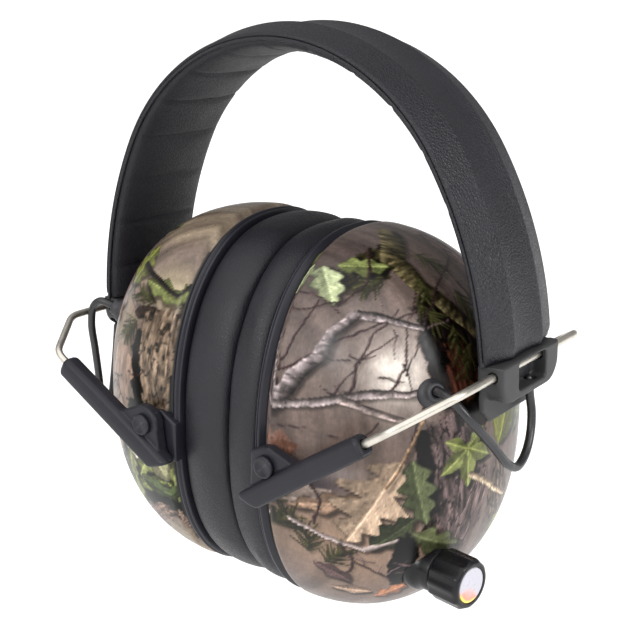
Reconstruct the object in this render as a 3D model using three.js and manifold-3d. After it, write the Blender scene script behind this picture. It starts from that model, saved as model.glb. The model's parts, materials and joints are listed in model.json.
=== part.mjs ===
// Electronic folding earmuff: a padded headband with two end caps, a wire yoke hinged in each cap,
// plastic arms that slide on the yoke's legs, and two cups that tilt between the arms.
// Millimetres, +Z up, +X towards the right cup (the one with the volume knob), -Y towards the front.
import * as THREE from 'three';
import Module from 'manifold-3d';
import { mergeVertices } from 'three/addons/utils/BufferGeometryUtils.js';

// ---- driving dimensions ----------------------------------------------------------------------
const GAP = 0.3; // clearance between neighbouring pieces
const DOME_STEPS = [40, 18]; // facets of the cup's surface, round it and from pole to pole
const INNER_STEPS = [28, 12]; // the same of its inner face
const OVAL_STEPS = 36; // points of the outlines of ring and cushion
const EAR_STEPS = 20; // points of the ear opening

// cup: half of a superellipsoid, its flat side facing the other cup
const CUP = { halfWidth: 43.2, halfHeight: 56.6, depth: 47.6, outline: 2.3, dome: 2.3, wall: 2.4 };
const RIM_X = 17; // from the middle plane between the cups to the cup shell's rim
const STAND_Z = -55.9; // flat on the bottom of each cup
const RING = { x: 13.9, thick: 3.4, bevel: 0.9, inset: 0.4, earY: 23, earZ: 33 };
const CUSHION = { x: 0.35, thick: 13.2, bevel: 4, inset: 1.6, earY: 20, earZ: 29 };
const FOAM_PAD = [14.2, 19.8]; // from the ring's inner face to the speaker
const BOSS = { y: 28.5, z: 38.5, radius: 3.4, screw: 1.3, head: 2.6, sunk: 1.5 };

// pivot between cup and arms, and the arms' bar
const PIVOT_X = 22.6;
const PIN = { radius: 2, head: 3.1, headThick: 1.2, inner: 38 };
const BLOCK_Y = [39, 44.5]; // inner and outer face of the ring's pivot block
const BLOCK_OUTLINE = [
  [14.2, -11], [22, -11], [28.6, -5.5], [29, -1.2], [25.6, 2.7], [19.6, 3.7], [14.2, 0.8],
];
const LUG = { radius: 5.3, thick: 3.6, foot: 11, shoulder: 3.6 };
const BAR = { y: 47.6, drop: 6, radius: 3, back: -13.8, front: 33.2 };

// wire yoke
const WIRE = 1.1; // radius
const YOKE = { corner: 32.4, bend: -12, end: -61, round: 3 };

// headband: three arcs, heights measured from the pivots
const ARCH = { topRadius: 62.5, topCentre: 46.1, topAngle: 60, sideRadius: 115 };
const BAND_END = 26; // height where the cover meets the end cap
const BAND = { width: 37, cover: [2.6, -1], strip: [-1.3, -2.5], pad: [-2.8, -5.4] };
const STRIP = { halfWidth: 12, tail: 3.5 }; // its ends reach this far into the end caps
const LEAN = 3.2; // degrees, the headband leans to the left over the cups
const LEAN_HEIGHT = 28;
const CAP = { outer: 72.8, inner: 65.4, bottom: 15, width: 33, corner: 6.5 };
const CROSSBAR = { x: 70.1, z: 23 };
const WINDOW = { width: 15.5, height: 6.8, depth: 4.6, bottom: 16.8, y: 0.8 };
const TONGUE = { inner: 65.8, outer: 67.2, bottom: 9.2, width: 32 };

const KNOB = { y: -17.3, z: -31.1, yaw: -8.5, pitch: -1.4, radius: 7, length: 10, facets: 12 };
const COLLAR = { radius: 6.2, length: 3.9, root: 6 };
const DISC = { radius: 4.85, thick: 0.8 };
const POT = { shaft: 2.3, neck: 3.2, body: 6.5, hole: 3.6 }; // radii of the potentiometer behind it
const GLAND = { y: -23, z: 21.5, radius: 3.3, stem: 2.2 };
const DOOR = { y: 24, low: -38, high: -13, clear: 0.4 };
const CELL = { radius: 5.2, length: 44.5, x: 38.8, z: [-19.8, -30.8] };

const LEAD_RADIUS = 1.2;
const LEAD_ENTRY = { right: [69.2, 5.4], left: [70.1, 13.6] }; // x and y in the end caps' undersides
// routes of the two short leads, cup coordinates: x outwards, z from the pivots' height
const LEAD_RIGHT = [
  [57.9, -23.77, 22.15], [60.1, -25.18, 23.33], [62.8, -24.6, 22], [65.2, -20.6, 16.8], [67, -11.6, 7.6],
  [68, -3.6, -0.4], [68.4, 1.2, -2.6], [68.8, 5.6, -0.8], [69.1, 8.2, 4.2], [69.3, 8.6, 10],
  [69.5, 7.2, 15], [69.7, 5.4, 20.6],
];
const LEAD_LEFT = [
  [57.9, 23.77, 22.15], [60.1, 25.18, 23.33], [62.8, 26.3, 24], [65.8, 26.6, 21.8], [67.8, 26, 15.6],
  [68.8, 24, 6], [69.4, 22.2, -5], [69.7, 21.2, -12.5], [69.8, 19.4, -15.6], [69.8, 17.2, -13.4],
  [69.7, 15.6, -6], [69.5, 14.4, 3], [69.3, 13.6, 11.4],
];

// ---- materials ---------------------------------------------------------------------------------
const finish = (color, roughness, metalness = 0) =>
  new THREE.MeshStandardMaterial({ color, roughness, metalness });
const PLASTIC = finish(0x303036, 0.55);
const LEATHERETTE = finish(0x2c2c31, 0.6);
const PADDING = finish(0x232229, 0.75);
const CAMO = finish(0x8d8074, 0.35);
const NICKEL = finish(0xb9b39f, 0.3, 1);
const SILVER = finish(0xc9c8cc, 0.3, 0.8);
const KNOB_BLACK = finish(0x1c1c20, 0.4);
const FOAM = finish(0x2e2e30, 0.95);
const BOARD = finish(0x1f5a36, 0.5);
const STEEL = finish(0x9a9a9c, 0.4, 1);
const CELL_SKIN = finish(0x4a4f58, 0.4, 0.3);
const RUBBER = finish(0x1f1f22, 0.6);

// ---- booleans ----------------------------------------------------------------------------------
const wasm = await Module();
wasm.setup();

function solid(geometry) {
  const bare = geometry.clone();
  bare.deleteAttribute('normal');
  bare.deleteAttribute('uv');
  const merged = mergeVertices(bare, 1e-4);
  return new wasm.Manifold(new wasm.Mesh({
    numProp: 3,
    vertProperties: new Float32Array(merged.attributes.position.array),
    triVerts: new Uint32Array(merged.index.array),
  }));
}

function geometryOf(manifold) {
  const mesh = manifold.getMesh();
  const geometry = new THREE.BufferGeometry();
  geometry.setAttribute('position', new THREE.BufferAttribute(mesh.vertProperties, 3));
  geometry.setIndex(new THREE.BufferAttribute(mesh.triVerts, 1));
  geometry.computeVertexNormals();
  return geometry;
}

const cut = (body, ...tools) => geometryOf(tools.reduce((m, t) => m.subtract(solid(t)), solid(body)));
const join = (body, ...others) => geometryOf(others.reduce((m, t) => m.add(solid(t)), solid(body)));
const common = (body, tool) => geometryOf(solid(body).intersect(solid(tool)));

// ---- shape helpers -----------------------------------------------------------------------------
const radians = THREE.MathUtils.degToRad;
const signedPower = (v, p) => Math.sign(v) * Math.abs(v) ** p;

function boxBetween([x0, y0, z0], [x1, y1, z1]) {
  return new THREE.BoxGeometry(x1 - x0, y1 - y0, z1 - z0)
    .translate((x0 + x1) / 2, (y0 + y1) / 2, (z0 + z1) / 2);
}

function rodX(radius, x0, x1, sides = 16) {
  return new THREE.CylinderGeometry(radius, radius, x1 - x0, sides)
    .rotateZ(-Math.PI / 2).translate((x0 + x1) / 2, 0, 0);
}

function rodY(radius, y0, y1, sides = 12) {
  return new THREE.CylinderGeometry(radius, radius, y1 - y0, sides).translate(0, (y0 + y1) / 2, 0);
}

// an outline drawn with its x as world X and its y as world Z, extruded over y0..y1
function plateY(shape, y0, y1, bevel = 0) {
  return new THREE.ExtrudeGeometry(shape, {
    depth: y1 - y0 - 2 * bevel, steps: 1, curveSegments: 5,
    bevelEnabled: bevel > 0, bevelThickness: bevel, bevelSize: bevel, bevelOffset: -bevel, bevelSegments: 1,
  }).rotateX(Math.PI / 2).translate(0, y1 - bevel, 0);
}

// an outline drawn with its x as world Z (reversed) and its y as world Y, extruded over x0..x1
function plateX(shape, x0, x1, bevel = 0, bevelSegments = 3) {
  return new THREE.ExtrudeGeometry(shape, {
    depth: x1 - x0 - 2 * bevel, steps: 1, curveSegments: 5,
    bevelEnabled: bevel > 0, bevelThickness: bevel, bevelSize: bevel, bevelOffset: -bevel, bevelSegments,
  }).rotateY(Math.PI / 2).translate(x0 + bevel, 0, 0);
}

// superellipse in plateX coordinates
function ovalPoints(halfY, halfZ, steps = OVAL_STEPS, exponent = CUP.outline) {
  return Array.from({ length: steps }, (_, i) => {
    const angle = (2 * Math.PI * i) / steps;
    return new THREE.Vector2(
      halfZ * signedPower(Math.cos(angle), 2 / exponent),
      halfY * signedPower(Math.sin(angle), 2 / exponent),
    );
  });
}

function ovalRing(halfY, halfZ, earY, earZ) {
  const shape = new THREE.Shape(ovalPoints(halfY, halfZ));
  shape.holes.push(new THREE.Path(ovalPoints(earY, earZ, EAR_STEPS, 2.1)));
  return shape;
}

function roundTube(points, radius, steps, sides = 8) {
  const section = new THREE.Shape(Array.from({ length: sides }, (_, i) => {
    const angle = (2 * Math.PI * i) / sides;
    return new THREE.Vector2(radius * Math.cos(angle), radius * Math.sin(angle));
  }));
  const curve = new THREE.CatmullRomCurve3(points, false, 'centripetal');
  return new THREE.ExtrudeGeometry(section, { steps, extrudePath: curve, bevelEnabled: false });
}

// ---- the scene ---------------------------------------------------------------------------------
const earmuff = new THREE.Group();

function part(parent, name, geometry, material) {
  const mesh = new THREE.Mesh(geometry, material.clone());
  mesh.name = name;
  parent.add(mesh);
  return mesh;
}

// ---- headband ----------------------------------------------------------------------------------
const headband = new THREE.Group();
headband.rotation.y = -radians(LEAN);
headband.position.set(
  LEAN_HEIGHT * Math.sin(radians(LEAN)), 0, LEAN_HEIGHT * (1 - Math.cos(radians(LEAN))),
);
earmuff.add(headband);

// side arc: continues the top arc with the same tangent, down to a given height
const SIDE_CENTRE = {
  x: (ARCH.topRadius - ARCH.sideRadius) * Math.sin(radians(ARCH.topAngle)),
  z: ARCH.topCentre + (ARCH.topRadius - ARCH.sideRadius) * Math.cos(radians(ARCH.topAngle)),
};

function archLine(offset, bottom, topSteps = 16, sideSteps = 5) {
  const right = [];
  for (let i = 0; i <= topSteps / 2; i += 1) {
    const angle = (radians(ARCH.topAngle) * i) / (topSteps / 2);
    const r = ARCH.topRadius + offset;
    right.push([r * Math.sin(angle), ARCH.topCentre + r * Math.cos(angle)]);
  }
  const r = ARCH.sideRadius + offset;
  const last = Math.acos((bottom - SIDE_CENTRE.z) / r);
  for (let i = 1; i <= sideSteps; i += 1) {
    const angle = radians(ARCH.topAngle) + ((last - radians(ARCH.topAngle)) * i) / sideSteps;
    right.push([SIDE_CENTRE.x + r * Math.sin(angle), SIDE_CENTRE.z + r * Math.cos(angle)]);
  }
  const left = right.slice(1).reverse().map(([x, z]) => [-x, z]);
  return [...left, ...right].map(([x, z]) => new THREE.Vector2(x, z));
}

function archShape([outer, inner], bottom) {
  return new THREE.Shape([...archLine(outer, bottom), ...archLine(inner, bottom).reverse()]);
}

function makeStrip() {
  return plateY(archShape(BAND.strip, BAND_END - STRIP.tail), -STRIP.halfWidth, STRIP.halfWidth);
}

function makeHeadband() {
  const half = BAND.width / 2;
  part(headband, 'headband_cover', plateY(archShape(BAND.cover, BAND_END), -half, half, 1.2), LEATHERETTE);
  part(headband, 'spring_strip', makeStrip(), STEEL);
  part(headband, 'headband_pad', plateY(archShape(BAND.pad, BAND_END), 0.6 - half, half - 0.6, 0.8), PADDING);
}

// end cap, drawn on the right (side = 1) or the left (side = -1)
function capOutline() {
  const half = CAP.width / 2;
  const { corner, bottom } = CAP;
  const top = BAND_END - GAP;
  const shape = new THREE.Shape();
  shape.moveTo(-top, -half);
  shape.lineTo(-bottom - corner, -half);
  shape.absarc(-bottom - corner, -half + corner, corner, -Math.PI / 2, 0, false);
  shape.absarc(-bottom - corner, half - corner, corner, 0, Math.PI / 2, false);
  shape.lineTo(-top, half);
  return shape;
}

function tongueOutline() {
  const half = TONGUE.width / 2;
  const chamfer = 4;
  return new THREE.Shape([
    [-CAP.bottom - 2, -half], [-TONGUE.bottom - chamfer, -half], [-TONGUE.bottom, -half + chamfer],
    [-TONGUE.bottom, half - chamfer], [-TONGUE.bottom - chamfer, half], [-CAP.bottom - 2, half],
  ].map(([a, b]) => new THREE.Vector2(a, b)));
}

function makeEndCap(side) {
  const turn = side > 0 ? 0 : Math.PI;
  const [leadX, leadY] = side > 0 ? LEAD_ENTRY.right : LEAD_ENTRY.left;
  const body = join(
    plateX(capOutline(), CAP.inner, CAP.outer, 1),
    plateX(tongueOutline(), TONGUE.inner, TONGUE.outer),
  );
  const window = boxBetween(
    [CAP.outer - WINDOW.depth, WINDOW.y - WINDOW.width / 2, WINDOW.bottom],
    [CAP.outer + 1, WINDOW.y + WINDOW.width / 2, WINDOW.bottom + WINDOW.height],
  );
  const crossbarHole = rodY(WIRE + GAP, -30, 30).translate(CROSSBAR.x, 0, CROSSBAR.z);
  const stripEnd = boxBetween(
    [66.4, -STRIP.halfWidth - GAP, BAND_END - STRIP.tail - 0.5], [68.4, STRIP.halfWidth + GAP, BAND_END + 1],
  );
  const leadHole = new THREE.CylinderGeometry(LEAD_RADIUS + 0.9, LEAD_RADIUS + 0.9, 8, 10)
    .rotateX(Math.PI / 2).translate(leadX, leadY, CAP.bottom);
  const geometry = cut(body, window, crossbarHole, stripEnd, leadHole).rotateZ(turn);
  part(headband, side > 0 ? 'end_cap_right' : 'end_cap_left', geometry, PLASTIC);
}

// ---- yoke, arms and cup of one side ------------------------------------------------------------
function makeYoke(group, name) {
  const corner = new THREE.Vector3(0, YOKE.corner, 0);
  const bend = new THREE.Vector3(YOKE.bend, BAR.y, 0);
  const slant = bend.clone().sub(corner).normalize();
  const path = new THREE.CurvePath();
  const bendIn = bend.clone().addScaledVector(slant, -YOKE.round);
  const bendOut = bend.clone().add(new THREE.Vector3(-YOKE.round, 0, 0));
  const cornerOut = corner.clone().addScaledVector(slant, YOKE.round);
  const cornerIn = corner.clone().add(new THREE.Vector3(0, -YOKE.round, 0));
  const half = [
    new THREE.LineCurve3(new THREE.Vector3(YOKE.end, BAR.y, 0), bendOut),
    new THREE.QuadraticBezierCurve3(bendOut, bend, bendIn),
    new THREE.LineCurve3(bendIn, cornerOut),
    new THREE.QuadraticBezierCurve3(cornerOut, corner, cornerIn),
  ];
  const mirror = (v) => new THREE.Vector3(v.x, -v.y, v.z);
  half.forEach((c) => path.add(c));
  path.add(new THREE.LineCurve3(cornerIn, mirror(cornerIn)));
  path.add(new THREE.QuadraticBezierCurve3(mirror(cornerIn), mirror(corner), mirror(cornerOut)));
  path.add(new THREE.LineCurve3(mirror(cornerOut), mirror(bendIn)));
  path.add(new THREE.QuadraticBezierCurve3(mirror(bendIn), mirror(bend), mirror(bendOut)));
  path.add(new THREE.LineCurve3(mirror(bendOut), new THREE.Vector3(YOKE.end, -BAR.y, 0)));
  // stations: the ends of the straight stretches, and a few on every bend
  const stations = [];
  path.curves.forEach((c, i) => {
    const steps = i % 2 === 0 ? 1 : 4;
    for (let k = i === 0 ? 0 : 1; k <= steps; k += 1) stations.push(c.getPoint(k / steps));
  });
  part(group, name, sweep(stations, WIRE, 10), NICKEL);
}

// round section carried along a flat polyline in the XY plane, mitred at each station
function sweep(stations, radius, sides) {
  const positions = [];
  const index = [];
  stations.forEach((point, i) => {
    const before = stations[Math.max(i - 1, 0)];
    const after = stations[Math.min(i + 1, stations.length - 1)];
    const along = after.clone().sub(before).normalize();
    const across = new THREE.Vector3(-along.y, along.x, 0);
    for (let k = 0; k < sides; k += 1) {
      const angle = (2 * Math.PI * k) / sides;
      const p = point.clone().addScaledVector(across, radius * Math.cos(angle));
      positions.push(p.x, p.y, p.z + radius * Math.sin(angle));
    }
  });
  const ring = (i, k) => i * sides + (k % sides);
  for (let i = 0; i + 1 < stations.length; i += 1) {
    for (let k = 0; k < sides; k += 1) {
      index.push(ring(i, k), ring(i + 1, k + 1), ring(i + 1, k));
      index.push(ring(i, k), ring(i, k + 1), ring(i + 1, k + 1));
    }
  }
  const last = stations.length - 1;
  for (let k = 1; k + 1 < sides; k += 1) {
    index.push(ring(0, 0), ring(0, k + 1), ring(0, k));
    index.push(ring(last, 0), ring(last, k), ring(last, k + 1));
  }
  const geometry = new THREE.BufferGeometry();
  geometry.setAttribute('position', new THREE.Float32BufferAttribute(positions, 3));
  geometry.setIndex(index);
  geometry.computeVertexNormals();
  return geometry;
}

function armGeometry() {
  const shape = new THREE.Shape();
  shape.moveTo(-LUG.foot, 1);
  shape.lineTo(LUG.foot, 1);
  shape.lineTo(LUG.shoulder, BAR.drop + 4.3);
  shape.absarc(0, BAR.drop, LUG.radius, radians(50), radians(165), false);
  const inner = BLOCK_Y[1] + GAP;
  const lug = plateY(shape, inner, inner + LUG.thick, 0.5);
  const bar = rodX(BAR.radius, BAR.back, BAR.front, 12).translate(0, BAR.y, 0);
  const bore = rodX(WIRE + GAP, BAR.back + 2, BAR.front + 1, 10).translate(0, BAR.y, 0);
  const pinHole = rodY(PIN.radius + GAP, 30, 60).translate(0, 0, BAR.drop);
  return cut(join(bar, lug), bore, pinHole);
}

// point on the cup's outer surface over (y, z), pushed outwards or inwards by changing the size
function domeX(y, z, shrink = 0) {
  const k = (Math.abs(y / (CUP.halfWidth - shrink)) ** CUP.outline
    + Math.abs(z / (CUP.halfHeight - shrink)) ** CUP.outline) ** (1 / CUP.outline);
  return RIM_X + (CUP.depth - shrink) * (1 - k ** CUP.dome) ** (1 / CUP.dome);
}

function dome(shrink, [around, rise] = DOME_STEPS) {
  const geometry = new THREE.SphereGeometry(1, around, rise);
  const p = geometry.attributes.position;
  for (let i = 0; i < p.count; i += 1) {
    // the sphere's poles lie on Y: they become the outward axis
    const [out, a, b] = [p.getY(i), p.getZ(i), p.getX(i)];
    const flat = Math.hypot(a, b);
    const k = Math.min(flat, 1) ** (2 / CUP.dome);
    const [c, s] = flat > 1e-6 ? [a / flat, b / flat] : [1, 0];
    p.setXYZ(
      i,
      RIM_X + (CUP.depth - shrink) * signedPower(Math.abs(out) < 1e-6 ? 0 : out, 2 / CUP.dome),
      (CUP.halfWidth - shrink) * k * signedPower(Math.abs(c) < 1e-6 ? 0 : c, 2 / CUP.outline),
      (CUP.halfHeight - shrink) * k * signedPower(Math.abs(s) < 1e-6 ? 0 : s, 2 / CUP.outline),
    );
  }
  return geometry;
}

const bossPlaces = [[1, 1], [1, -1], [-1, -1], [-1, 1]].map(([a, b]) => [a * BOSS.y, b * BOSS.z]);

function towards(geometry, { y, z, yaw, pitch }) {
  return geometry.rotateY(radians(pitch)).rotateZ(radians(yaw)).translate(domeX(y, z), y, z);
}
const alongKnob = (geometry) => towards(geometry, KNOB);
const glandAim = (sign) => ({ y: sign * GLAND.y, z: GLAND.z, yaw: sign * -32, pitch: -24 });

const belowStand = boxBetween([-60, -60, -70], [80, 60, STAND_Z]);

function makeShell(group, name, sign, extraCuts) {
  const outer = dome(0);
  const inner = dome(CUP.wall, INNER_STEPS);
  const rimCut = boxBetween([-60, -60, -70], [RIM_X, 60, 70]);
  const bosses = bossPlaces.map(([y, z]) =>
    common(rodX(BOSS.radius, RIM_X + 1, domeX(y, z), 10).translate(0, y, z), dome(CUP.wall / 2)));
  const screwHoles = bossPlaces.map(([y, z]) =>
    rodX(BOSS.screw + GAP, RIM_X - 1, RIM_X + 12, 8).translate(0, y, z));
  const pinHoles = rodY(PIN.radius + GAP, -60, 60).translate(PIVOT_X, 0, 0);
  const gland = towards(rodX(GLAND.stem + GAP, -10, 6, 10), glandAim(sign));
  let shell = solid(outer).subtract(solid(inner));
  bosses.forEach((b) => { shell = shell.add(solid(b)); });
  [rimCut, belowStand, ...screwHoles, pinHoles, gland, ...extraCuts].forEach((t) => {
    shell = shell.subtract(solid(t));
  });
  part(group, name, geometryOf(shell), CAMO);
}

function makeRing(group, name) {
  const ring = plateX(
    ovalRing(CUP.halfWidth - RING.inset, CUP.halfHeight - RING.inset, RING.earY, RING.earZ),
    RING.x, RING.x + RING.thick, RING.bevel, 2,
  );
  const block = new THREE.Shape(BLOCK_OUTLINE.map(([x, z]) => new THREE.Vector2(x, z)));
  const [near, far] = BLOCK_Y;
  const blocks = [plateY(block, near, far, 0.4), plateY(block, -far, -near, 0.4)];
  const shellSpace = common(dome(-GAP), boxBetween([RIM_X - GAP, -60, -70], [90, 60, 70]));
  const screwHoles = bossPlaces.map(([y, z]) => rodX(BOSS.screw + GAP, 0, 30, 8).translate(0, y, z));
  const headHoles = bossPlaces.map(([y, z]) =>
    rodX(BOSS.head + GAP, 0, RING.x + BOSS.sunk, 10).translate(0, y, z));
  const pinHoles = rodY(PIN.radius + GAP, -60, 60).translate(PIVOT_X, 0, 0);
  const holes = [...screwHoles, ...headHoles, pinHoles];
  part(group, name, cut(join(ring, ...blocks), shellSpace, belowStand, ...holes), PLASTIC);
}

function makeScrews(group, label) {
  bossPlaces.forEach(([y, z], i) => {
    const profile = [
      [0, RING.x + 0.3], [BOSS.head, RING.x + 0.3], [BOSS.head, RING.x + 1],
      [BOSS.screw, RING.x + BOSS.sunk - 0.2], [BOSS.screw, RIM_X + 9], [0, RIM_X + 10],
    ].map(([r, x]) => new THREE.Vector2(r, x));
    const screw = new THREE.LatheGeometry(profile, 8).rotateZ(-Math.PI / 2).translate(0, y, z);
    part(group, `ring_screw_${label}_${i + 1}`, screw, STEEL);
  });
}

function makePins(group, label, side) {
  [1, -1].forEach((sign) => {
    const where = sign === side ? 'rear' : 'front';
    const face = BLOCK_Y[1] + GAP + LUG.thick + GAP;
    const top = face + PIN.headThick;
    const profile = [
      [0, PIN.inner], [PIN.radius, PIN.inner], [PIN.radius, face], [PIN.head, face],
      [PIN.head, top - 0.5], [PIN.head - 0.5, top], [0, top],
    ].map(([r, y]) => new THREE.Vector2(r, y));
    const pin = new THREE.LatheGeometry(profile, 12);
    if (sign < 0) pin.rotateX(Math.PI);
    part(group, `pivot_pin_${where}_${label}`, pin.translate(PIVOT_X, 0, 0), PLASTIC);
  });
}

function makeInnards(group, label) {
  const foam = new THREE.Shape(ovalPoints(RING.earY - 0.6, RING.earZ - 0.6, EAR_STEPS, 2.1));
  part(group, `ear_foam_${label}`, plateX(foam, ...FOAM_PAD), FOAM);
  const driver = [[0, 20.2], [17, 20.2], [17, 22.8], [10, 25.4], [10, 29], [0, 29]];
  const speaker = new THREE.LatheGeometry(driver.map(([r, x]) => new THREE.Vector2(r, x)), 20);
  part(group, `speaker_${label}`, speaker.rotateZ(-Math.PI / 2), RUBBER);
}

function makeCup(group, label, sign, extraCuts) {
  makeShell(group, `cup_shell_${label}`, sign, extraCuts);
  makeRing(group, `base_ring_${label}`);
  part(group, `cushion_${label}`, plateX(
    ovalRing(CUP.halfWidth - CUSHION.inset, CUP.halfHeight - CUSHION.inset, CUSHION.earY, CUSHION.earZ),
    CUSHION.x, CUSHION.x + CUSHION.thick, CUSHION.bevel, 2,
  ), LEATHERETTE);
  makeScrews(group, label);
  makePins(group, label, sign);
  makeInnards(group, label);
  const stem = rodX(GLAND.stem, -6, 3.4, 10);
  const flange = rodX(GLAND.radius, -3, 1.6, 10);
  const seat = dome(-GAP);
  const bore = rodX(LEAD_RADIUS + GAP, 1, 6, 10);
  const aim = glandAim(sign);
  const gland = cut(
    join(cut(towards(flange, aim), seat), towards(stem, aim)),
    towards(bore, aim),
  );
  part(group, `lead_gland_${label}`, gland, RUBBER);
}

// ---- volume control, right cup -----------------------------------------------------------------
function makeVolumeControl(cup) {
  const lathe = (profile, segments) => new THREE.LatheGeometry(
    profile.map(([r, x]) => new THREE.Vector2(r, x)), segments,
  ).rotateZ(-Math.PI / 2);
  const collar = rodX(COLLAR.radius, -COLLAR.root, COLLAR.length, 16);
  const collarBore = rodX(POT.hole, -8, 8, 12);
  const seat = dome(-GAP);
  part(cup, 'knob_collar', cut(alongKnob(collar), seat, alongKnob(collarBore)), KNOB_BLACK);
  const pot = [
    [0, -19], [POT.body, -19], [POT.body, -13], [POT.neck, -13], [POT.neck, COLLAR.length - 0.2],
    [POT.shaft, COLLAR.length], [POT.shaft, COLLAR.length + 6], [0, COLLAR.length + 6],
  ];
  part(cup, 'potentiometer', alongKnob(lathe(pot, 14)), STEEL);
  const start = COLLAR.length + GAP;
  const end = start + KNOB.length;
  const body = [
    [0, start], [KNOB.radius, start], [KNOB.radius, end - 1.2], [KNOB.radius - 0.9, end], [0, end],
  ];
  const knob = cut(
    lathe(body, KNOB.facets), rodX(POT.shaft + GAP, start - 1, COLLAR.length + 6.4, 14),
    rodX(DISC.radius + GAP, end - DISC.thick - GAP, end + 1, 24),
  );
  part(cup, 'volume_knob', alongKnob(knob), KNOB_BLACK);
  const disc = rodX(DISC.radius, end - DISC.thick, end - 0.05, 24);
  part(cup, 'knob_disc', alongKnob(disc), SILVER);
}

// ---- battery bay, left cup ---------------------------------------------------------------------
const doorBox = (grow) => boxBetween(
  [RIM_X + 24, -DOOR.y - grow, DOOR.low - grow], [90, DOOR.y + grow, DOOR.high + grow],
);

function makeBatteryBay(cup) {
  const skin = cut(dome(0), dome(CUP.wall, INNER_STEPS));
  part(cup, 'battery_door', common(skin, doorBox(0)), CAMO);
  const room = dome(CUP.wall + GAP, INNER_STEPS);
  const tray = cut(
    boxBetween([32, -DOOR.y - 0.4, DOOR.low + 0.4], [60, DOOR.y + 0.4, DOOR.high - 0.2]),
    boxBetween([33.4, -DOOR.y + 0.8, DOOR.low + 1.6], [70, DOOR.y - 0.8, DOOR.high - 1.4]),
  );
  part(cup, 'battery_tray', common(common(tray, room), boxBetween([0, -60, -70], [42, 60, 70])), PLASTIC);
  CELL.z.forEach((z, i) => {
    const half = CELL.length / 2;
    const profile = [
      [0, -half], [CELL.radius, -half], [CELL.radius, half - 1.6], [2.6, half - 1.4], [2.6, half], [0, half],
    ].map(([r, y]) => new THREE.Vector2(r, y));
    const cell = new THREE.LatheGeometry(profile, 14);
    if (i % 2) cell.rotateX(Math.PI);
    part(cup, `battery_${i + 1}`, cell.translate(CELL.x, 0, z), CELL_SKIN);
  });
}

// ---- assembly ----------------------------------------------------------------------------------
function makeSide(label, sign, extraCuts, lead) {
  const side = new THREE.Group(); // x points outwards from the middle plane
  side.rotation.z = sign > 0 ? 0 : Math.PI;
  earmuff.add(side);
  // the crossbar's place after the headband's lean, seen from this side
  const lean = radians(LEAN) * sign;
  const dz = CROSSBAR.z - LEAN_HEIGHT;
  const x = CROSSBAR.x * Math.cos(lean) - dz * Math.sin(lean);
  const z = LEAN_HEIGHT + CROSSBAR.x * Math.sin(lean) + dz * Math.cos(lean);
  const distance = Math.hypot(x - PIVOT_X, z);
  const slope = Math.atan2(z, x - PIVOT_X) + Math.asin(BAR.drop / distance);
  const reach = Math.sqrt(distance ** 2 - BAR.drop ** 2);

  const yoke = new THREE.Group();
  yoke.name = `yoke_group_${label}`;
  yoke.position.set(x, 0, z);
  yoke.rotation.y = -slope;
  side.add(yoke);
  makeYoke(yoke, `wire_yoke_${label}`);

  const arms = new THREE.Group();
  arms.position.x = -reach;
  yoke.add(arms);
  const arm = armGeometry();
  part(arms, `arm_${sign > 0 ? 'rear' : 'front'}_${label}`, arm, PLASTIC);
  part(arms, `arm_${sign > 0 ? 'front' : 'rear'}_${label}`, mirroredY(arm), PLASTIC);

  const pivot = new THREE.Group();
  pivot.position.z = BAR.drop;
  pivot.rotation.y = slope;
  arms.add(pivot);
  const cup = new THREE.Group();
  cup.position.x = -PIVOT_X;
  pivot.add(cup);
  makeCup(cup, label, sign, extraCuts);
  const points = lead.map((p) => new THREE.Vector3(...p));
  part(cup, `lead_${label}`, roundTube(points, LEAD_RADIUS, 24), RUBBER);
  return cup;
}

// mirror in the XZ plane, keeping the faces pointing outwards
function mirroredY(geometry) {
  const mirrored = geometry.clone();
  const p = mirrored.attributes.position;
  for (let i = 0; i < p.count; i += 1) p.setY(i, -p.getY(i));
  const index = mirrored.index.array;
  for (let i = 0; i < index.length; i += 3) [index[i], index[i + 1]] = [index[i + 1], index[i]];
  mirrored.computeVertexNormals();
  return mirrored;
}

makeHeadband();
makeEndCap(1);
makeEndCap(-1);

const rightCup = makeSide('right', 1, [alongKnob(rodX(POT.hole, -14, 8, 12))], LEAD_RIGHT);
makeVolumeControl(rightCup);
part(rightCup, 'circuit_board', boxBetween([31, -22, -19], [32.6, 22, 24]), BOARD);

const leftCup = makeSide('left', -1, [doorBox(DOOR.clear)], LEAD_LEFT);
makeBatteryBay(leftCup);

// origin: the middle of the footprint, at the level of the surface the cups stand on
earmuff.updateMatrixWorld(true);
const bounds = new THREE.Box3().setFromObject(earmuff, true);
earmuff.position.set(
  -(bounds.min.x + bounds.max.x) / 2, -(bounds.min.y + bounds.max.y) / 2, -bounds.min.z,
);

export default earmuff;
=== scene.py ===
"""Looks of an electronic folding earmuff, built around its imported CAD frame.

Lengths are millimetres until a mesh is made.
"""

import json
import math

import bmesh
import bpy
import numpy as np
from mathutils import Matrix, Vector


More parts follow.
